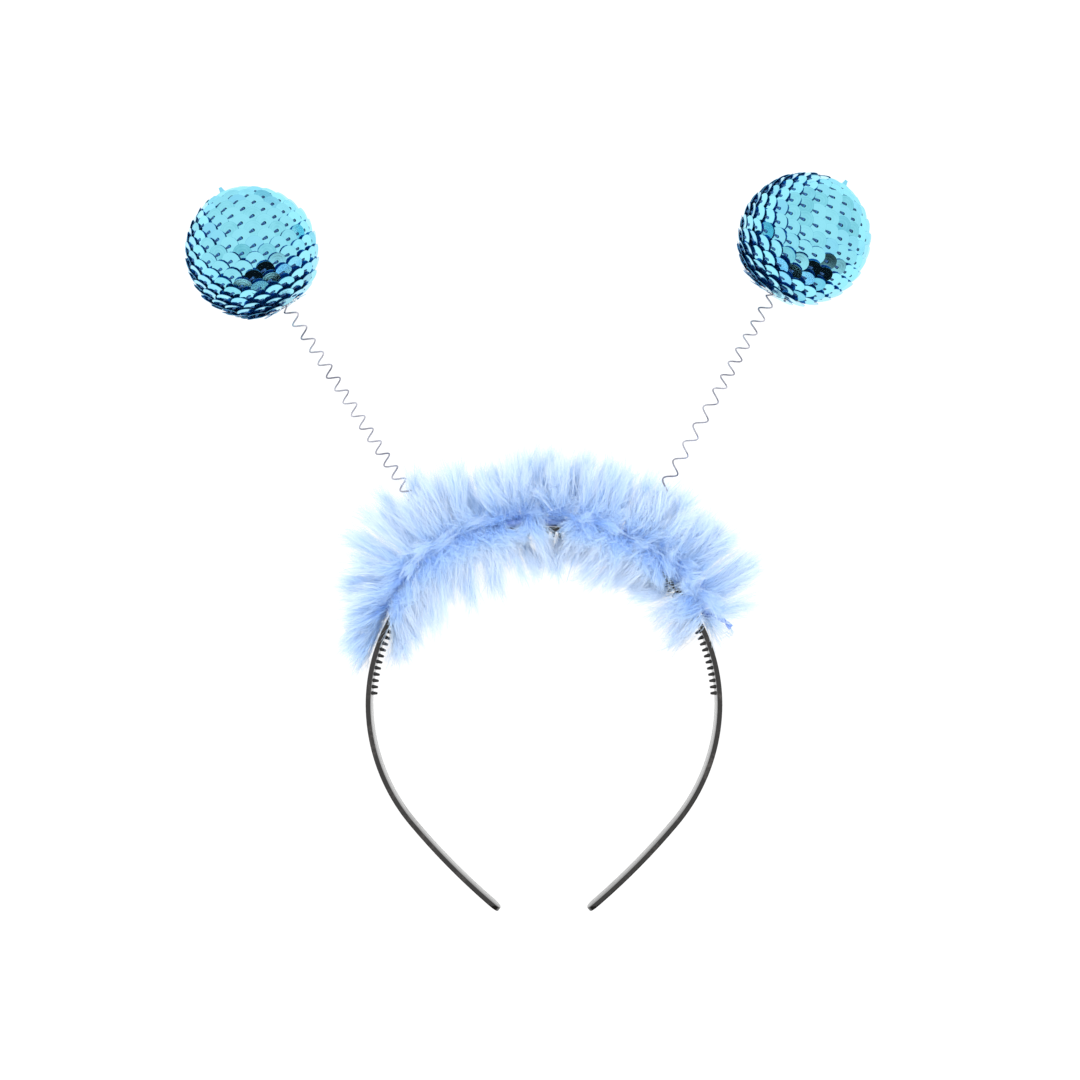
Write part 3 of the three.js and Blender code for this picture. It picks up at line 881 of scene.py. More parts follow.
@dataclass
class Spring:
    """A coil spring from a ball to its foot, which is wound round the band.

    The stretch says how the pitch of the coils changes from the ball to the foot: places of 0 to
    1 and factors of the coil pitch.
    """

    side: Side
    band: Headband
    length: float
    stretch: tuple
    wire_diameter: float = 0.55 * MM
    wire_sides: int = 8
    coil_diameter: float = 4.1 * MM
    tail_length: float = 12 * MM
    foot_wraps: int = 2
    coil_pitch: float = 5 * MM
    gap: float = 0.3 * MM
    ball_height: float = 21.15 * MM
    foam_radius: float = 20 * MM
    steps_per_turn: int = 24

    def __post_init__(self) -> None:
        """Works out the axis from the foot to the centre of the ball."""
        shape = self.band.shape
        self.angle = SPRING_ANGLES[self.side]
        self.half = shape.half_width(self.angle)
        self.middle = shape.lift + self.half
        self.foot = shape.point(self.angle, shape.crown_radius, self.middle)
        rise = self.ball_height - self.middle
        span = math.sqrt((self.length + self.ball_height) ** 2 - rise**2)
        self.ball = shape.point(self.angle, shape.crown_radius + span, self.ball_height)
        self.direction = (self.ball - self.foot).normalized()

    @property
    def wrap_offset(self) -> float:
        """How far the wire's middle stands off the band."""
        return self.gap + self.wire_diameter / 2

    def coil_points(self) -> list[Vector]:
        """Points of the coil from the ball to the foot, where it ends above its axis."""
        across = self.band.shape.along(self.angle)
        up = across.cross(self.direction).normalized()
        radius = (self.coil_diameter - self.wire_diameter) / 2
        end = (self.ball - self.foot).length - self.wrap_offset - self.wire_diameter
        places, factors = zip(*self.stretch)
        points = []
        distance = end
        step = 0
        while distance > self.ball_height:
            turn = -2 * math.pi * step / self.steps_per_turn
            offset = up * math.cos(turn) + across * math.sin(turn)
            points.insert(0, self.ball - self.direction * distance + offset * radius)
            at = (distance - self.ball_height) / (end - self.ball_height)
            pitch = self.coil_pitch * float(np.interp(at, places, factors))
            distance -= pitch / self.steps_per_turn
            step += 1
        return points

    def foot_points(self) -> list[Vector]:
        """Points of the wraps round the band."""
        shape = self.band.shape
        first = round(self.angle / self.band.tooth_angle)
        angles = [(first + i) * self.band.tooth_angle for i in range(self.foot_wraps)]
        corners = (
            (shape.crown_radius, self.half),
            (shape.inner_radius, self.half),
            (shape.inner_radius, -self.half),
            (shape.crown_radius, -self.half),
        )
        points = []
        for at, after in zip(angles, angles[1:] + angles[-1:]):
            for corner, (radius, level) in enumerate(corners):
                for share in (0, 0.25, 0.5, 0.75, 1):
                    turn = (corner + share) * math.pi / 2
                    away = radius + math.cos(turn) * self.wrap_offset
                    height = self.middle + level + math.sin(turn) * self.wrap_offset
                    points.append(shape.point(at, away, height))
            outer = shape.crown_radius + self.wrap_offset
            points.append(shape.point((at + after) / 2, outer, self.middle - self.half / 3))
        return points

    def build(self, finish: Material) -> None:
        """Makes the wire from its tail in the foam to its foot."""
        tail = [
            self.ball + self.direction * (depth - self.foam_radius)
            for depth in (self.tail_length, 0.0)
        ]
        points = tail + self.coil_points() + self.foot_points()
        name = f"spring_{self.side.value}_wire"
        wire = wire_along(name, points, self.wire_diameter / 2, self.wire_sides)
        dress(wire, finish, Slot.WIRE, f"spring_{self.side.value}")


# The balls.


@dataclass
class SequinBall:
    """A foam ball wound with one string of sequins, from its spring to its far pole."""

    spring: Spring
    seed: int
    foam_radius: float = 19.6 * MM
    dimple_radius: float = 0.9 * MM
    dimple_depth: float = 1.2 * MM
    seat_radius: float = 20.3 * MM
    sequin_radius: float = 3 * MM
    sequin_thickness: float = 0.12 * MM
    flat_share: float = 0.62
    hole_radius: float = 0.52 * MM
    row_spacing: float = 4.05 * MM
    string_pitch: float = 4.45 * MM
    row_tilt: float = math.radians(11)
    string_tilt: float = math.radians(6)
    tilt_scatter: float = math.radians(2.4)
    cup: float = 0.05 * MM
    sides: int = 16
    thread_radius: float = 0.19 * MM
    stitch_length: float = 1.8 * MM
    stitch_lift: float = 0.1 * MM
    stitch_cuts: tuple = (-0.35 * MM, -0.1 * MM)
    stitch_dip: float = 0.22 * MM
    end_turn: float = 0.13
    tab_size: tuple = (1.9 * MM, 1.2 * MM)
    tab_thickness: float = 0.16 * MM
    tab_droops: tuple = (0.05 * MM, 0.11 * MM, 0.18 * MM)

    @property
    def side(self) -> str:
        """The ball's side, as it stands in the names of its pieces."""
        return self.spring.side.value

    def ring(self, angle: float, turn: float) -> tuple[Vector, Vector, Vector]:
        """Directions at a place on the ball.

        Args:
            angle: angle from the spring's pole.
            turn: turn round the winding axis.

        Returns:
            The way out, the way to the far pole and the way the string runs.
        """
        axis = self.spring.direction
        side = axis.cross(Vector((0, 0, 1))).normalized()
        around = side * math.cos(turn) + axis.cross(side) * math.sin(turn)
        out = around * math.sin(angle) - axis * math.cos(angle)
        far = (axis - out * out.dot(axis)).normalized()
        return out, far, axis.cross(out).normalized()

    def make_sequin(self) -> Piece:
        """Models one sequin: a cupped disc with a hole, a raised rim and an underside marked for
        its dark blue, which is partly painted shade.
        """
        sequin = add_shape(
            bpy.ops.mesh.primitive_circle_add,
            "sequin_pattern",
            vertices=self.sides,
            radius=self.sequin_radius,
            fill_type="NGON",
        )
        edit(sequin, selected=True)
        bpy.ops.mesh.select_mode(type="FACE")
        now = self.sequin_radius
        for radius in (self.sequin_radius * self.flat_share, self.hole_radius):
            bpy.ops.mesh.inset(thickness=(now - radius) * math.cos(math.pi / self.sides))
            now = radius
        bpy.ops.mesh.delete(type="ONLY_FACE")
        done()
        for vertex in sequin.data.vertices:
            share = vertex.co.xy.length / self.sequin_radius
            vertex.co.z = self.cup * share**2
        apply_modifier(sequin, "SOLIDIFY", thickness=self.sequin_thickness, offset=0.0)
        points = points_of(sequin.data)
        radius = np.hypot(points[:, 0], points[:, 1]) / self.sequin_radius
        level = points[:, 2] - self.cup * radius**2
        add_numbers(sequin.data, "radius", radius)
        # Marks the underside, which the foil paints dark blue, partly as shade.
        add_numbers(sequin.data, "under", (level < 0).astype(float))
        return sequin

    def make_stitch(self) -> Piece:
        """Models one stitch, out of the hole and back along the string under its neighbour."""
        half = self.stitch_length / 2
        stitch = add_shape(
            bpy.ops.mesh.primitive_cylinder_add,
            "stitch_pattern",
            vertices=6,
            radius=self.thread_radius,
            depth=self.stitch_length,
            location=(self.stitch_lift - half, 0, self.stitch_lift),
            rotation=(0, math.pi / 2, 0),
        )
        apply_place(stitch)
        edit(stitch, selected=True)
        for place in self.stitch_cuts:
            bpy.ops.mesh.select_all(action="SELECT")
            bpy.ops.mesh.bisect(plane_co=(place, 0, 0), plane_no=(1, 0, 0), clear_inner=False)
        done()
        bend = self.stitch_cuts[0]
        lit_hole_share = []
        for vertex in stitch.data.vertices:
            share = min(1.0, max(0.0, (vertex.co.x - bend) / (self.stitch_lift - bend)))
            vertex.co.z -= self.stitch_dip * share**2
            if vertex.co.x > bend - 0.05 * MM:
                vertex.co.y *= 2.5
            # Marks the part in the hole, which the thread finish paints lighter as painted light.
            lit_hole_share.append(float(vertex.co.x > bend + 0.05 * MM))
        add_numbers(stitch.data, "hole", np.array(lit_hole_share))
        return stitch

    def string_places(self) -> Iterator[tuple[float, float]]:
        """Angle from the spring's pole and turn of each sequin along the string."""
        spring = self.spring
        row = self.row_spacing / self.seat_radius
        last = math.pi - 0.5 * row
        angle = math.asin((spring.coil_diameter / 2 + spring.gap) / self.seat_radius) + row / 2
        turn = 0.0
        while angle < last:
            yield angle, turn
            step = self.string_pitch / (self.seat_radius * math.sin(angle))
            turn += step
            angle += row * step / (2 * math.pi)

    def build_string(self, foil: Material, thread: Material) -> None:
        """Winds the sequins and their stitches round the ball."""
        random = np.random.default_rng(self.seed)
        seats, stitches, tones, blues = [], [], [], []
        for angle, turn in self.string_places():
            out, far, on = self.ring(angle, turn)
            row_tilt = math.tan(self.row_tilt + random.normal(0, self.tilt_scatter))
            string_tilt = math.tan(self.string_tilt + random.normal(0, self.tilt_scatter))
            normal = (out - far * row_tilt - on * string_tilt).normalized()
            first = (on - normal * on.dot(normal)).normalized()
            place = Matrix((first, normal.cross(first), normal)).transposed().to_4x4()
            place.translation = self.spring.ball + out * self.seat_radius
            seats.append(place @ Matrix.Rotation(random.uniform(0, 2 * math.pi), 4, "Z"))
            stitches.append(place)
            tones.append(random.beta(0.5, 2.6))
            blues.append(0.4 * random.beta(0.5, 4.0))
        numbers = {"tone": np.array(tones), "blue": np.array(blues)}
        sequins = copies(f"sequins_{self.side}", self.make_sequin(), seats, **numbers)
        smooth(sequins, 40)
        dress(sequins, foil, Slot.SEQUIN, f"sequin_cover_{self.side}")
        knots = copies(f"sequin_thread_{self.side}", self.make_stitch(), stitches)
        smooth(knots, 60)
        dress(knots, thread, Slot.SEQUIN, f"sequin_cover_{self.side}")

    def build_foam(self, finish: Material) -> None:
        """Models the foam ball, with a dimple where the spring goes in."""
        ball = add_shape(
            bpy.ops.mesh.primitive_uv_sphere_add,
            f"ball_foam_{self.side}",
            segments=48,
            ring_count=24,
            radius=self.foam_radius,
            location=(0, 0, 0),
        )
        select_where(ball, "VERT", lambda vertex: vertex.co.z > self.foam_radius * 0.999)
        bpy.ops.mesh.bevel(offset=self.dimple_radius, segments=1, affect="VERTICES")
        bpy.ops.transform.translate(value=(0, 0, -self.dimple_depth))
        done()
        put(ball, self.spring.ball, -self.spring.direction)
        apply_place(ball)
        smooth(ball, 60)
        dress(ball, finish, Slot.FOAM, f"ball_core_{self.side}")

    def build_end_tab(self, foil: Material) -> None:
        """Models the string's loose end, a short curled strip at the far pole."""
        out = self.ring(math.pi - self.end_turn, 0.0)[0]
        tab = add_sheet(f"string_end_{self.side}", *self.tab_size)
        edit(tab, selected=True)
        bpy.ops.transform.rotate(value=math.pi / 2, orient_axis="X", center_override=(0, 0, 0))
        done()
        top = max(vertex.co.z for vertex in tab.data.vertices)
        select_where(tab, "VERT", lambda vertex: abs(vertex.co.z - top) < NEAR)
        for droop in self.tab_droops:
            step = {"value": (0.22 * MM, -droop, 0.62 * MM)}
            bpy.ops.mesh.extrude_region_move(TRANSFORM_OT_translate=step)
            bpy.ops.transform.resize(value=(0.8, 1, 1), center_override=(-0.4 * MM, 0, 0))
        done()
        turn_outwards(tab)
        apply_modifier(tab, "SOLIDIFY", thickness=self.tab_thickness, offset=0.0)
        turn_outwards(tab)
        for name, value in (("radius", 0.5), ("under", 0.0), ("tone", 0.15), ("blue", 0.15)):
            add_numbers(tab.data, name, np.full(len(tab.data.vertices), value))
        put(tab, self.spring.ball + out * (self.seat_radius + 0.1 * MM), out)
        apply_place(tab)
        smooth(tab, 40)
        dress(tab, foil, Slot.SEQUIN, f"sequin_cover_{self.side}")

    def build(self, foil: Material, thread: Material, foam: Material) -> None:
        """Makes the ball."""
        self.build_foam(foam)
        self.build_string(foil, thread)
        self.build_end_tab(foil)


# The feathers.


def unit(ways: Array, guard: float = 0.0) -> Array:
    """Vectors along the last axis, made 1 long; a guard keeps those of no length finite."""
    return ways / (np.linalg.norm(ways, axis=-1, keepdims=True) + guard)


def bent(
    root: Array, way: Array, last: Array, length: float, shares: tuple = (0.33, 0.66)
) -> list[Array]:
    """Control points of a plume that bends.

    Args:
        root: where it starts.
        way: its direction at first.
        last: its direction after the bend.
        length: its whole length.
        shares: where along it the second and third points are.

    Returns:
        The four control points.
    """
    bend = root + way * length * shares[1]
    return [root, root + way * length * shares[0], bend, bend + last * length * (1 - shares[1])]


def line_steps(count: int) -> Array:
    """Steps along a line from 0 to 1, as one row."""
    return np.linspace(0, 1, count)[None, :]


@dataclass(frozen=True)
class Fullness:
    """How many plumes a group has, how wide one is, and its clumps and barbs to a clump."""

    count: int
    width: float
    clumps: int
    barbs: int


@dataclass(frozen=True)
class SpringNook:
    """How the outer plumes give way to a spring, and how far the fan over its foot reaches."""

    angle: float
    room: float
    tilts: tuple[float, float]
    lifts: tuple[float, float]
    cover: float


@dataclass
class Plumes:
    """Axes of a group of plumes, as four control points each, and how pale each is."""

    name: str
    full: Fullness
    controls: Array
    pale: Array

    @classmethod
    def gather(cls, name: str, full: Fullness, plumes: Iterator[Plume]) -> "Plumes":
        """Draws the plumes of a group one after the other."""
        controls, pale = zip(*plumes)
        return cls(name, full, np.array(controls), np.array(pale))


@dataclass
class FeatherTrim:
    """A boa of marabou plumes on a twisted cord, tied along the crown of the band.

    The tables give millimetres, or a lean along the crown, at angles in degrees.
    """

    shape: BandShape
    start: float = math.radians(-62)
    end: float = math.radians(61)
    cord_radius: float = 3.4 * MM
    cord_height: float = 7.2 * MM
    ply_radius: float = 0.5 * MM
    cut_length: float = 7.8 * MM
    cut_droop: float = 3.9 * MM
    barb_width: float = 0.12 * MM
    barb_steps: int = 5
    single_steps: int = 9
    floor_gap: float = 0.35 * MM
    band_gap: float = 0.4 * MM
    top_gap: float = 0.25 * MM
    seed: int = 23
    cord_seed: int = 29
    outer: Fullness = Fullness(count=76, width=5.2 * MM, clumps=60, barbs=8)
    inner: Fullness = Fullness(count=72, width=3.4 * MM, clumps=34, barbs=7)
    top: Fullness = Fullness(count=56, width=3.4 * MM, clumps=36, barbs=8)
    cover: Fullness = Fullness(count=92, width=2.6 * MM, clumps=28, barbs=8)
    ends: Fullness = Fullness(count=12, width=3.6 * MM, clumps=34, barbs=8)
    gaps: Fullness = Fullness(count=27, width=1.3 * MM, clumps=12, barbs=8)
    parts: tuple = (("left", -999, -20), ("crown", -20, 22), ("right", 22, 999))
    outer_tilts: tuple = (-8, 4, 18, 34, 50)
    outer_tilt_shares: tuple = (0.26, 0.27, 0.22, 0.15, 0.1)
    outer_reach: tuple = (
        (-62, 17), (-55, 22), (-50, 22), (-45, 28), (-40, 29.5), (-30, 29.5), (-24, 30),
        (-20, 16.5), (-15, 24.5), (-10, 26.5), (0, 24), (10, 25.5), (15, 25), (20, 26.5),
        (26, 28.5), (31, 27.5), (36, 24.5), (45, 27), (52, 26), (58, 28.5), (61, 29),
    )
    inner_reach: tuple = (
        (-62, 19), (-55, 20), (-45, 18.5), (-38, 26), (-30, 22), (-22, 25), (-15, 21), (-10, 22),
        (-5, 18), (0, 20), (10, 16.5), (20, 15.5), (26, 20), (33, 17.5), (40, 14), (46, 18),
        (55, 17.5), (61, 16),
    )
    outer_lean: tuple = (
        (-62, -2.6), (-57, -1.3), (-50, -0.6), (-44, -0.25), (-37, 0), (-32, 0.1), (-28, 0.25),
        (-24, 0.2), (-19, -0.3), (-12, -0.15), (0, 0), (10, 0.05), (25, -0.15), (40, 0.0),
        (52, 0.0), (61, 0.2),
    )
    outer_shift: tuple = ((-62, 1.4), (-57, 0.6), (-50, 0), (61, 0))
    inner_lean: tuple = (
        (-62, -1.3), (-50, -1.1), (-40, -0.8), (-30, -0.55), (-20, 0.0), (-10, 0.35), (0, 0),
        (10, -0.1), (20, -0.3), (35, -0.3), (45, -0.45), (50, -0.3), (55, 0.1), (61, 0.75),
    )
    end_span: tuple[float, float] = (-66, -58.5)
    bare_spans: tuple = ((-13, -7), (-2, 9), (39, 51))
    nooks: tuple = (
        SpringNook(SPRING_ANGLES[Side.LEFT], math.radians(3.6), (-1, 10), (-0.5, 2), 20 * MM),
        SpringNook(SPRING_ANGLES[Side.RIGHT], math.radians(3.2), (-7, 4), (-1.5, 2), 15 * MM),
    )

    def value(self, table: tuple, angle: float) -> float:
        """A table's number at an angle."""
        angles, numbers = zip(*table)
        return float(np.interp(math.degrees(angle), angles, numbers))

    def ways_at(self, angle: float) -> tuple[Array, Array]:
        """Ways out and along at an angle, as arrays."""
        return np.array(self.shape.outward(angle)), np.array(self.shape.along(angle))

    def point(self, angle: float, away: float, height: float) -> Array:
        """A point by its angle, its distance from the crown's outer face and its height."""
        return np.array(self.shape.point(angle, self.shape.crown_radius + away, height))

    def cord_point(self, angle: float) -> Array:
        """The cord's middle at an angle, wandering a little."""
        wander = 1.2 * MM * math.sin(angle * 9 + 1.3)
        rise = 0.9 * MM * math.sin(angle * 7)
        return self.point(angle, self.cord_radius + wander, self.cord_height + rise)

    def angle_at(self, share: float) -> float:
        """The angle at a share of the trim's length."""
        return self.start + (self.end - self.start) * share

    def is_bare(self, angle: float) -> bool:
        """Whether the band shows through the trim at an angle."""
        spans = (self.end_span, *self.bare_spans)
        return any(low < math.degrees(angle) < high for low, high in spans)

    def outer_plumes(self, random: Random) -> Iterator[Plume]:
        """Long plumes that point away from the band."""
        count = self.outer.count
        for i in range(count):
            angle = self.angle_at(min((i + random.uniform(0.1, 0.7)) / count, 1.0))
            out, on = self.ways_at(angle)
            flat = unit(out + on * (self.value(self.outer_lean, angle) + random.normal(0, 0.17)))
            tilt = math.radians(random.choice(self.outer_tilts, p=self.outer_tilt_shares))
            lift = random.uniform(-2.5, 2.5)
            for nook in self.nooks:
                if abs(angle - nook.angle) < nook.room:
                    tilt = math.radians(random.uniform(*nook.tilts))
                    lift = random.uniform(*nook.lifts)
            root = self.cord_point(angle) + UP * lift * MM
            root = root + out * self.value(self.outer_shift, angle) * MM
            reach = self.value(self.outer_reach, angle) * MM - self.cord_radius
            length = reach * random.uniform(0.8, 1.06)
            way = flat * math.cos(tilt) + UP * math.sin(tilt)
            curl = on * random.normal(0, 0.14) - UP * random.uniform(0.02, 0.22)
            last = unit(way * math.cos(tilt) * 0.9 + flat * 0.2 + curl)
            controls = bent(root, way, last, length, (0.3, 0.62))
            controls[2] = controls[2] + UP * MM
            yield controls, random.uniform(-0.16, 0.18)
        for nook in self.nooks:
            for step in (-2.7, -0.9, 0.9, 2.7):
                angle = nook.angle + math.radians(step)
                out, on = self.ways_at(angle)
                root = self.cord_point(angle) + UP * 1.5 * MM
                way = out * 0.84 + UP * 0.54 + on * random.normal(0, 0.06)
                last = out * 0.96 + UP * 0.12
                yield bent(root, way, last, nook.cover, (0.3, 0.6)), random.uniform(-0.1, 0.1)

    def end_plumes(self, random: Random) -> Iterator[Plume]:
        """Plumes that fan out past the left end of the trim, beside the band's arm."""
        for _ in range(self.ends.count):
            angle = self.start + random.uniform(-0.02, 0.09)
            out, on = self.ways_at(angle)
            way = unit(-on + out * random.uniform(-0.1, 0.65) + UP * random.uniform(-0.25, 0.35))
            length = random.uniform(13, 21) * MM
            root = self.cord_point(angle) - out * 0.3 * MM + UP * random.uniform(-3, 1) * MM
            last = unit(way + out * random.normal(0, 0.12) - UP * random.uniform(0, 0.3))
            yield bent(root, way, last, length), random.uniform(0.35, 0.75)

    def inner_plumes(self, random: Random) -> Iterator[Plume]:
        """Plumes that bend over the band's front edge and hang inside it."""
        count = self.inner.count
        for i in range(count):
            angle = self.angle_at(max((i + random.uniform(0.0, 1.0)) / count, 0.02))
            out, on = self.ways_at(angle)
            lean = self.value(self.inner_lean, angle) + random.normal(0, 0.22)
            reach = self.value(self.inner_reach, angle) * MM * random.uniform(0.62, 1.0)
            flat = unit(-out + on * lean)
            root = self.cord_point(angle) + UP * random.uniform(0, 2) * MM
            edge = self.point(angle, 0, 0)
            over = edge + UP * (self.shape.top + random.uniform(2, 5) * MM) + on * lean * MM
            down = edge + flat * (reach * 0.55) + UP * random.uniform(10, 15) * MM
            tip = edge + flat * reach + UP * random.uniform(2, 8) * MM
            if self.is_bare(angle):
                root = edge - out * random.uniform(1.0, 2.5) * MM
                root = root + UP * random.uniform(1, 3.5) * MM
                over = root + flat * (reach * 0.25) + UP * random.uniform(2, 5) * MM
                down = root + flat * (reach * 0.55) + UP * random.uniform(4, 9) * MM
            yield (root, over, down, tip), random.uniform(0.4, 0.95)

    def top_plumes(self, random: Random) -> Iterator[Plume]:
        """Short plumes that lie along the cord and stand up from it."""
        count = self.top.count
        for i in range(count):
            angle = self.angle_at(max((i + random.uniform(0.1, 0.9)) / count, 0.04))
            out, on = self.ways_at(angle)
            way_on = random.choice((-1, 1)) * random.uniform(0.4, 1.0)
            way_on = -abs(way_on) if angle > self.end - 0.12 else way_on
            way = on * way_on + out * random.uniform(-0.25, 0.7) + UP * random.uniform(0.1, 0.6)
            way = unit(way)
            root = self.cord_point(angle) + UP * random.uniform(0, 3) * MM
            length = random.uniform(9, 15) * MM
            last = unit(way + out * random.normal(0, 0.2) + UP * random.uniform(-0.1, 0.3))
            first, second = (root + way * length * share for share in (0.33, 0.66))
            yield (root, first, second, root + last * length), random.uniform(-0.3, 0.1)

    def cover_plumes(self, random: Random) -> Iterator[Plume]:
        """Short plumes that lie aslant over the band's front edge and hide it."""
        top = self.shape.top
        made = 0
        while made < self.cover.count:
            angle = self.angle_at(random.uniform(0.045, 1.0))
            if self.is_bare(angle) and random.random() < 0.95:
                continue
            made += 1
            out, on = self.ways_at(angle)
            skew = random.choice((-1, 1)) * random.uniform(0.5, 2.2)
            skew = abs(skew) if angle < self.start + 0.12 else skew
            skew = skew * 0.3 if angle > self.end - 0.12 else skew
            flat = unit(-out + on * skew)
            reach = random.uniform(5, 10) * MM
            root = self.cord_point(angle) + UP * random.uniform(1, 4) * MM
            edge = self.point(angle, 0, 0)
            over = edge + UP * (top + random.uniform(1.2, 3.5) * MM)
            down = edge + flat * (reach * 0.6) + UP * (top + random.uniform(0.5, 2.5) * MM)
            tip = edge + flat * reach + UP * (top - random.uniform(-0.5, 3) * MM)
            yield (root, over, down, tip), random.uniform(-0.2, 0.15)

    def gap_plumes(self, random: Random) -> Iterator[Plume]:
        """Small plumes between the cord and the band, where the band shows through."""
        for i in range(self.gaps.count):
            low, high = self.bare_spans[i % len(self.bare_spans)]
            angle = math.radians(random.uniform(low - 3, high + 3))
            out, on = self.ways_at(angle)
            away = random.uniform(1.3, 4.2) * MM
            root = self.point(angle, away, random.uniform(4, 10.5) * MM)
            way = on * random.choice((-1, 1)) + out * random.normal(0.05, 0.1)
            way = way + UP * random.normal(0.1, 0.15)
            length = random.uniform(5, 8) * MM
            yield bent(root, way, way, length), random.uniform(-0.6, -0.1)

    def axis_points(self, controls: Array, shares: Array) -> Array:
        """Points on plume axes, going straight on past their tips.

        Args:
            controls: four control points for each barb, n by 4 by 3.
            shares: places along the axis, n by steps, 1 at the tip.

        Returns:
            Points, n by steps by 3.
        """
        inside = np.minimum(shares, 1.0)[..., None]
        rest = 1 - inside
        a, b, c, d = (controls[:, None, i, :] for i in range(4))
        points = rest**3 * a + 3 * rest**2 * inside * b + 3 * rest * inside**2 * c + inside**3 * d
        return points + (shares[..., None] - inside) * 3 * (d - c)

    def barb_lines(self, plumes: Plumes, random: Random) -> Lines:
        """Centre lines of all barbs of a group of plumes, gathered in pointed tufts.

        Args:
            plumes: the group.
            random: the source of scatter.

        Returns:
            Points, n by steps by 3, how far along the plume each is, and a tint for each barb.
        """
        full = plumes.full
        owner = np.repeat(np.arange(len(plumes.controls)), full.clumps)
        count = len(owner)
        start = random.uniform(0, 1, count) ** 0.9 * 0.8
        end = start + (1.06 - start) * random.uniform(0.45, 1.0, count)
        axis = unit(plumes.controls[owner, 3] - plumes.controls[owner, 0])
        side = random.normal(0, 1, (count, 3))
        side = unit(side - axis * (side * axis).sum(1, keepdims=True))
        side[:, 2] *= 0.85
        width = full.width * (1 - 0.45 * start) * random.uniform(0.15, 1.0, count)
        curl = random.normal(0, 1.1 * MM, (count, 3))
        tint = 0.55 * random.uniform(0, 1, len(plumes.controls))[owner]
        tint += 0.45 * random.uniform(0, 1, count)

        tuft = np.repeat(np.arange(count), full.barbs)
        total = len(tuft)
        t = line_steps(self.barb_steps)
        first = np.clip(start[tuft] + random.normal(0, 0.05, total), 0, 0.95)[:, None]
        last = (end[tuft] + random.normal(0, 0.05, total))[:, None]
        shares = first + (last - first) * t
        points = self.axis_points(plumes.controls[owner[tuft]], shares)
        spread = 1 - (1 - t) ** 1.8
        points += side[tuft][:, None, :] * (width[tuft][:, None] * spread)[..., None]
        points += curl[tuft][:, None, :] * (t**2)[..., None]
        spare = random.choice((0.45, 0.8, 1.6), count, p=(0.4, 0.35, 0.25))[tuft][:, None]
        loose = random.normal(0, MM, (total, 3)) * spare
        points += loose[:, None, :] * (1 - 0.72 * t)[..., None]
        phase = random.uniform(0, 2 * np.pi, (total, 1))
        wave = random.normal(0, 0.14 * MM, (total, 3))
        points += wave[:, None, :] * np.sin(phase + t * 9)[..., None]
        along = shares * 0.72 + 0.22 * t * (width[tuft] / full.width)[:, None]
        along += plumes.pale[owner[tuft]][:, None]
        return points, np.clip(along, 0, 1.3), tint[tuft]

    def stray_lines(self, plumes: Plumes, random: Random, count: int) -> Lines:
        """Single barbs that stand out past the tips of a group of plumes."""
        owner = random.integers(0, len(plumes.controls), count)
        t = line_steps(self.single_steps)
        shares = random.uniform(0.5, 0.8, (count, 1)) + random.uniform(0.4, 0.62, (count, 1)) * t
        points = self.axis_points(plumes.controls[owner], shares)
        for scale, power in ((3.0, 1), (2.4, 2)):
            points += random.normal(0, scale * MM, (count, 1, 3)) * (t**power)[..., None]
        return points, np.full(points.shape[:2], -0.5), random.uniform(0.2, 0.8, count)

    def quill_lines(self, plumes: Plumes, random: Random, count: int) -> Lines:
        """Bare shafts of some plumes, a little above their barbs."""
        owner = random.choice(len(plumes.controls), count, replace=False)
        t = line_steps(self.single_steps)
        shares = 0.08 + random.uniform(0.5, 0.7, (count, 1)) * t
        points = self.axis_points(plumes.controls[owner], shares)
        points[..., 2] += 2.4 * MM
        return points, np.full(points.shape[:2], 1.25), np.ones(count)

    def keep_clear(self, points: Array) -> None:
        """Lifts points off the floor and over the front edge of the band."""
        shape = self.shape
        height = points[..., 2]
        dip = (self.floor_gap - height).clip(0, 3 * MM)
        points[..., 2] = np.where(height < self.floor_gap, self.floor_gap + 0.3 * dip, height)
        flat = points[..., :2] - np.array(shape.centre)[:2]
        radius = np.hypot(flat[..., 0], flat[..., 1])
        angle = np.arctan2(flat[..., 0], flat[..., 1])
        inside = radius > shape.inner_radius - self.band_gap
        inside &= radius < shape.crown_radius + self.band_gap
        top = shape.top + self.top_gap
        over = inside & (np.abs(angle) < math.pi / 2) & (points[..., 2] < top)
        scatter = 0.5 * MM * ((radius * 977) % 1)
        points[..., 2] = np.where(over, top + scatter, points[..., 2])

    def ribbons(
        self, name: str, lines: Lines, width: float, random: Random, finish: Material
    ) -> None:
        """Makes a piece of thin tapered ribbons along centre lines.

        Args:
            name: the piece's name.
            lines: points, n by steps by 3, how far along its plume each is, and a tint for
                each line.
            width: width of a ribbon at its root.
            random: the source of each ribbon's turn.
            finish: the down's material.
        """
        points, along, tint = lines
        self.keep_clear(points)
        count, steps = along.shape
        way = unit(np.gradient(points, axis=1), 1e-9)
        across = unit(np.cross(way, random.normal(0, 1, (count, 1, 3))), 1e-9)
        taper = np.linspace(1.0, 0.4, steps)[None, :, None]
        offset = across * taper * random.uniform(0.75, 1.25, (count, 1, 1)) * width / 2
        edges = np.stack([points - offset, points + offset], axis=2).reshape(-1, 3)
        first = (np.arange(count)[:, None] * steps + np.arange(steps - 1)[None, :]) * 2
        faces = np.stack([first, first + 1, first + 3, first + 2], axis=-1).reshape(-1, 4)
        piece = mesh_of(name, edges, faces)
        add_numbers(piece.data, "along", np.repeat(along.ravel(), 2))
        add_numbers(piece.data, "tint", np.repeat(tint, steps * 2))
        dress(piece, finish, Slot.FEATHER, "feather_trim")

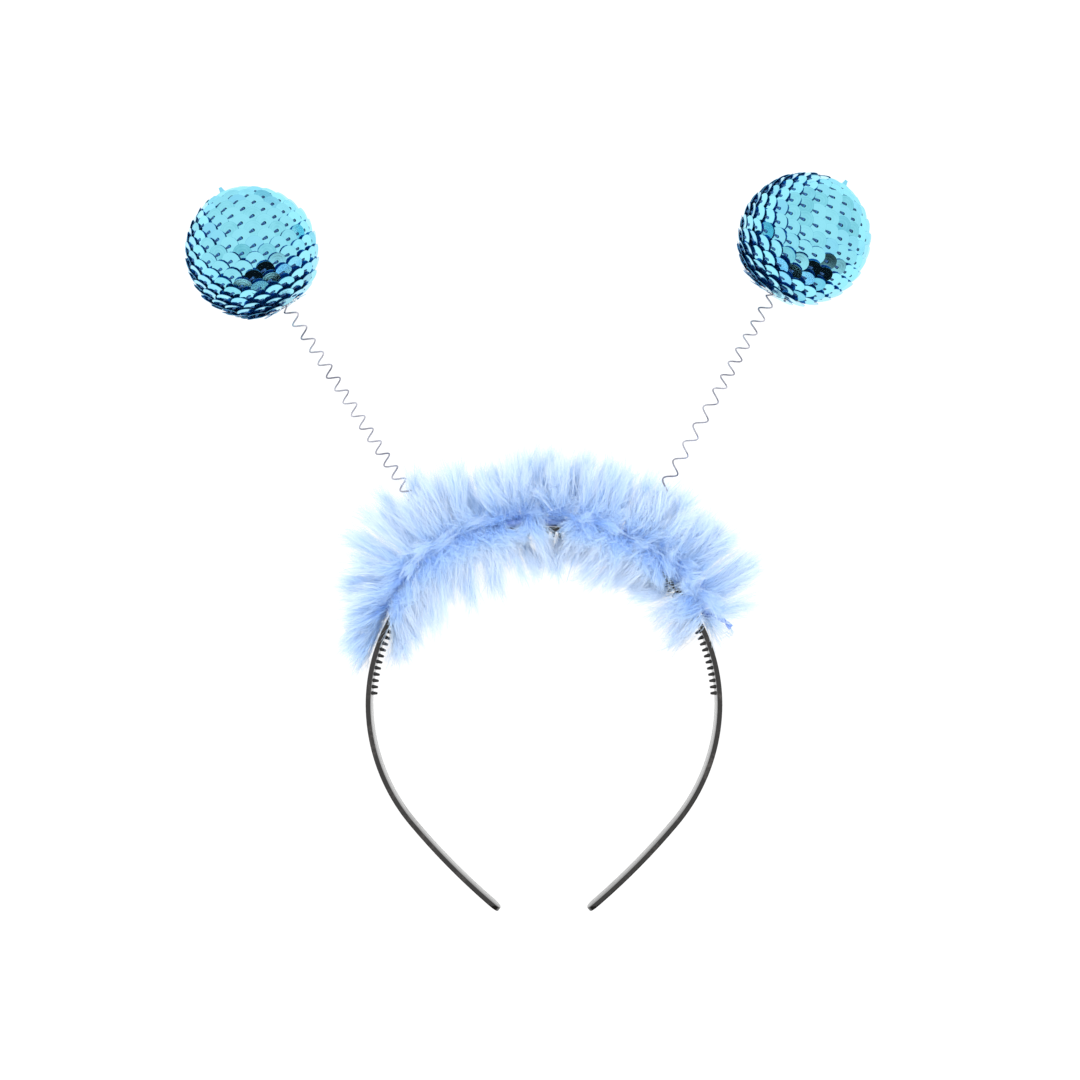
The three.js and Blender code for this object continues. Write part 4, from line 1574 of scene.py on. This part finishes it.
    def build_plumes(self, plumes: Plumes, finish: Material, seed: int) -> None:
        """Makes a group of plumes, split into pieces along the trim."""
        random = np.random.default_rng(seed)
        lines = self.barb_lines(plumes, random)
        roots = plumes.controls[:, 0, :] - np.array(self.shape.centre)
        turns = np.degrees(np.arctan2(roots[:, 0], roots[:, 1]))
        turn = np.repeat(turns, plumes.full.clumps * plumes.full.barbs)
        for part, low, high in self.parts:
            chosen = (turn >= low) & (turn < high)
            if chosen.any():
                picked = tuple(values[chosen] for values in lines)
                name = f"plumes_{plumes.name}_{part}"
                self.ribbons(name, picked, self.barb_width, random, finish)

    def build_singles(
        self, name: str, lines: Lines, width: float, finish: Material, seed: int
    ) -> None:
        """Makes one piece of single barbs or shafts."""
        self.ribbons(name, lines, width, np.random.default_rng(seed), finish)

    def build(self, cord_finish: Material) -> None:
        """Makes all the feathers and the cord's cut end."""
        random = np.random.default_rng(self.seed)
        centre = self.shape.centre
        down = Down(crown=self.shape.crown_radius, centre=(centre.x, centre.y, 0.0)).build()
        groups = [
            Plumes.gather(name, full, draw(random))
            for name, full, draw in (
                ("outer", self.outer, self.outer_plumes),
                ("inner", self.inner, self.inner_plumes),
                ("top", self.top, self.top_plumes),
                ("cover", self.cover, self.cover_plumes),
                ("end", self.ends, self.end_plumes),
                ("gap", self.gaps, self.gap_plumes),
            )
        ]
        for seed, plumes in enumerate(groups, 5):
            self.build_plumes(plumes, down, seed)
        outer, inner, top = groups[:3]
        singles = (
            ("stray_barbs_outer", self.stray_lines(outer, random, 150), 0.2 * MM),
            ("stray_barbs_inner", self.stray_lines(inner, random, 90), 0.18 * MM),
            ("plume_quills", self.quill_lines(top, random, 12), 0.3 * MM),
        )
        for seed, (name, lines, width) in enumerate(singles, 11):
            self.build_singles(name, lines, width, down, seed)
        self.build_cord(cord_finish)
        self.build_cut_end(down)

    def cord_path(self) -> list[Vector]:
        """The middle line of the core cord and of its curled cut end."""
        path = [Vector(self.cord_point(angle)) for angle in np.linspace(self.start, self.end, 120)]
        out, on = self.ways_at(self.end)
        lean = Vector(out * 0.875 + on * 0.485 + UP * 0.75)
        droop = Vector(on * 0.875 - out * 0.485)
        last = path[-1]
        for share in np.linspace(0.1, 1, 12):
            drop = droop * (self.cut_droop * share**2.5)
            path.append(last + lean * (self.cut_length * share) + drop)
        return path

    def build_cord(self, finish: Material) -> None:
        """Makes the two twisted plies of the core cord and the down's base beside the band."""
        path = self.cord_path()
        for ply in range(2):
            points = []
            for i, point in enumerate(path):
                way = (path[min(i + 1, len(path) - 1)] - path[max(i - 1, 0)]).normalized()
                side = way.cross(Vector((0, 0, 1))).normalized()
                turn = i * 0.55 + ply * math.pi
                offset = side * math.cos(turn) + side.cross(way) * math.sin(turn)
                points.append(point + offset * self.ply_radius)
            cord = wire_along(f"trim_cord_ply_{ply + 1}", points, self.ply_radius, 8)
            dress(cord, finish, Slot.FEATHER, "feather_trim")
        angles = np.linspace(self.start + 0.05, self.end - 0.03, 120)
        line = [Vector(self.point(angle, 1.65 * MM, 6.6 * MM)) for angle in angles]
        base = wire_along("trim_down_base", line, 1.5 * MM, 10)
        dress(base, finish, Slot.FEATHER, "feather_trim")

    def build_cut_end(self, down: Material) -> None:
        """Makes the frayed threads and the fan of thin barbs at the cord's cut end."""
        random = np.random.default_rng(self.cord_seed)
        out, on = self.ways_at(self.end)
        last = np.array(self.cord_path()[-1])
        t = line_steps(self.single_steps)[..., None]
        ends = last - out * random.uniform(2, 7, (9, 1)) * MM
        ends = ends + on * random.uniform(0.5, 3, (9, 1)) * MM
        ends[:, 2] = random.uniform(1, 5, 9) * MM
        bow = (on + out * 0.4) * random.uniform(0.5, 2.4, (9, 1)) * MM
        lines = last + (ends - last)[:, None, :] * t + bow[:, None, :] * (4 * t * (1 - t))
        threads = (lines, np.full(lines.shape[:2], 0.35), random.uniform(0.1, 0.7, 9))
        self.build_singles("trim_cord_threads", threads, 0.14 * MM, down, 14)
        self.build_singles("trim_end_fan", self.end_fan(random, 130), 0.17 * MM, down, 15)

    def end_fan(self, random: Random, count: int) -> Lines:
        """Thin barbs that spread below the cord's cut end."""
        out, on = self.ways_at(self.end)
        t = line_steps(self.single_steps)[..., None]
        way = unit(on + out * random.uniform(-0.25, 0.85, (count, 1)))
        root = self.cord_point(self.end) + out * random.normal(0, 0.6, (count, 1)) * MM
        root = root - UP * random.uniform(1, 6, (count, 1)) * MM
        length = random.uniform(7, 14, (count, 1)) * MM
        bow = random.normal(0, 0.9 * MM, (count, 1, 3)) * t**2
        lines = root[:, None, :] + (way * length)[:, None, :] * t + bow
        along = np.linspace(0.2, 1.0, self.single_steps)[None, :].repeat(count, 0)
        return lines, along, random.uniform(0.8, 1.8, count)


# Camera, floor and light.


@dataclass
class Studio:
    """White floor, even light and the camera of the photograph's view."""

    shape: BandShape
    aim: Vector = Vector((-1.3 * MM, 53.6 * MM, 0))
    height: float = 606 * MM
    focus_height: float = 11.5 * MM
    pixel: float = 0.325 * MM
    picture: int = 1080
    floor_size: float = 8.0
    floor_glow: float = 0.86
    card_size: tuple = (0.7, 0.46)
    card_place: Vector = Vector((0.034, -0.243, 0.056))
    lamp_size: float = 0.8
    lamp_power: float = 10.2
    lamp_places: tuple = (("left", (-0.5, 0.5, 1.3)), ("right", (0.6, -0.1, 1.3)))

    def build_camera(self) -> None:
        """Puts the camera straight above the middle of the picture."""
        data = bpy.data.cameras.new("photo_camera")
        camera = bpy.data.objects.new("photo_camera", data)
        bpy.context.scene.collection.objects.link(camera)
        camera.location = self.shape.centre + self.aim + Vector((0, 0, self.height))
        half = self.picture * self.pixel / 2
        data.angle = 2 * math.atan(half / (self.height - self.focus_height))
        data.clip_start = 0.01
        data.clip_end = 20
        bpy.context.scene.camera = camera

    def build_floor(self) -> None:
        """Makes the floor, bright enough to stay white."""
        floor = add_sheet("studio_floor", self.floor_size, self.floor_size, 3, -0.5 * MM)
        graph = Graph("floor_white")
        paper = graph.node("ShaderNodeBsdfDiffuse", None, {"Color": (0.85, 0.85, 0.85, 1)})
        glow = graph.node("ShaderNodeEmission", None, {"Strength": 1.1})
        floor.data.materials.append(graph.close(graph.blend(self.floor_glow, paper, glow)))

    def build_dark_card(self) -> None:
        """Hangs a dark card that only mirrors see."""
        card = add_sheet("studio_dark_card", *self.card_size, 1)
        place = self.shape.centre + self.aim + self.card_place
        put(card, place, self.shape.centre + self.aim - place)
        apply_place(card)
        graph = Graph("card_black")
        middle = graph.distance(graph.node("ShaderNodeTexCoord", output="UV"), (0.5, 0.5, 0))
        edge = (middle + graph.noise(16.0).swing(0.12)).ramp(0.3, 0.42)
        colour = graph.mix(edge, (0.004, 0.005, 0.008, 1), (1, 1, 1, 1))
        card.data.materials.append(graph.close(graph.node("ShaderNodeEmission", None, {0: colour})))
        card.visible_camera = False
        card.visible_diffuse = False
        card.visible_shadow = False
        card.visible_transmission = False

    def build_light(self) -> None:
        """Lights the scene evenly, with a soft lamp above either side."""
        world = bpy.data.worlds.new("studio_world")
        world.use_nodes = True
        background = world.node_tree.nodes["Background"].inputs
        background["Color"].default_value = (1, 1, 1, 1)
        background["Strength"].default_value = 1.0
        bpy.context.scene.world = world
        for name, place in self.lamp_places:
            data = bpy.data.lights.new(f"soft_lamp_{name}", "AREA")
            data.shape = "DISK"
            data.size = self.lamp_size
            data.energy = self.lamp_power
            lamp = bpy.data.objects.new(f"soft_lamp_{name}", data)
            lamp.visible_glossy = False
            bpy.context.scene.collection.objects.link(lamp)
            put(lamp, self.shape.centre + Vector(place), Vector(place))
        bpy.context.scene.view_settings.view_transform = "Standard"

    def build(self) -> None:
        """Makes the camera, the floor and the lights."""
        self.build_camera()
        self.build_floor()
        self.build_dark_card()
        self.build_light()
        log.info("studio ready")


LEFT_STRETCH = ((0.0, 0.99), (1.0, 0.948))
RIGHT_STRETCH = (
    (0.0, 0.985), (0.36, 0.985), (0.4, 1.325), (0.72, 1.34), (0.8, 1.51), (1.0, 1.51),
)


def main() -> None:
    """Builds the whole head bopper."""
    logging.basicConfig(level=logging.INFO, format="%(name)s %(message)s")
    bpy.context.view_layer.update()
    shape = BandShape.from_frame()
    Studio(shape).build()
    band = Headband(shape)
    band.build()
    steel = DrawnSteel().build()
    foil = SequinFoil().build()
    thread = Thread("sequin_thread_navy", linear(10, 44, 88), linear(34, 98, 152)).build()
    foam = BeadedFoam().build()
    cord = Thread("trim_cord_blue", linear(116, 148, 214), linear(188, 202, 242)).build()
    springs = (
        Spring(Side.LEFT, band, 94.5 * MM, LEFT_STRETCH),
        Spring(Side.RIGHT, band, 92.9 * MM, RIGHT_STRETCH),
    )
    for seed, spring in enumerate(springs, 3):
        spring.build(steel)
        SequinBall(spring, seed).build(foil, thread, foam)
    FeatherTrim(shape).build(cord)


if __name__ == "__main__":
    main()
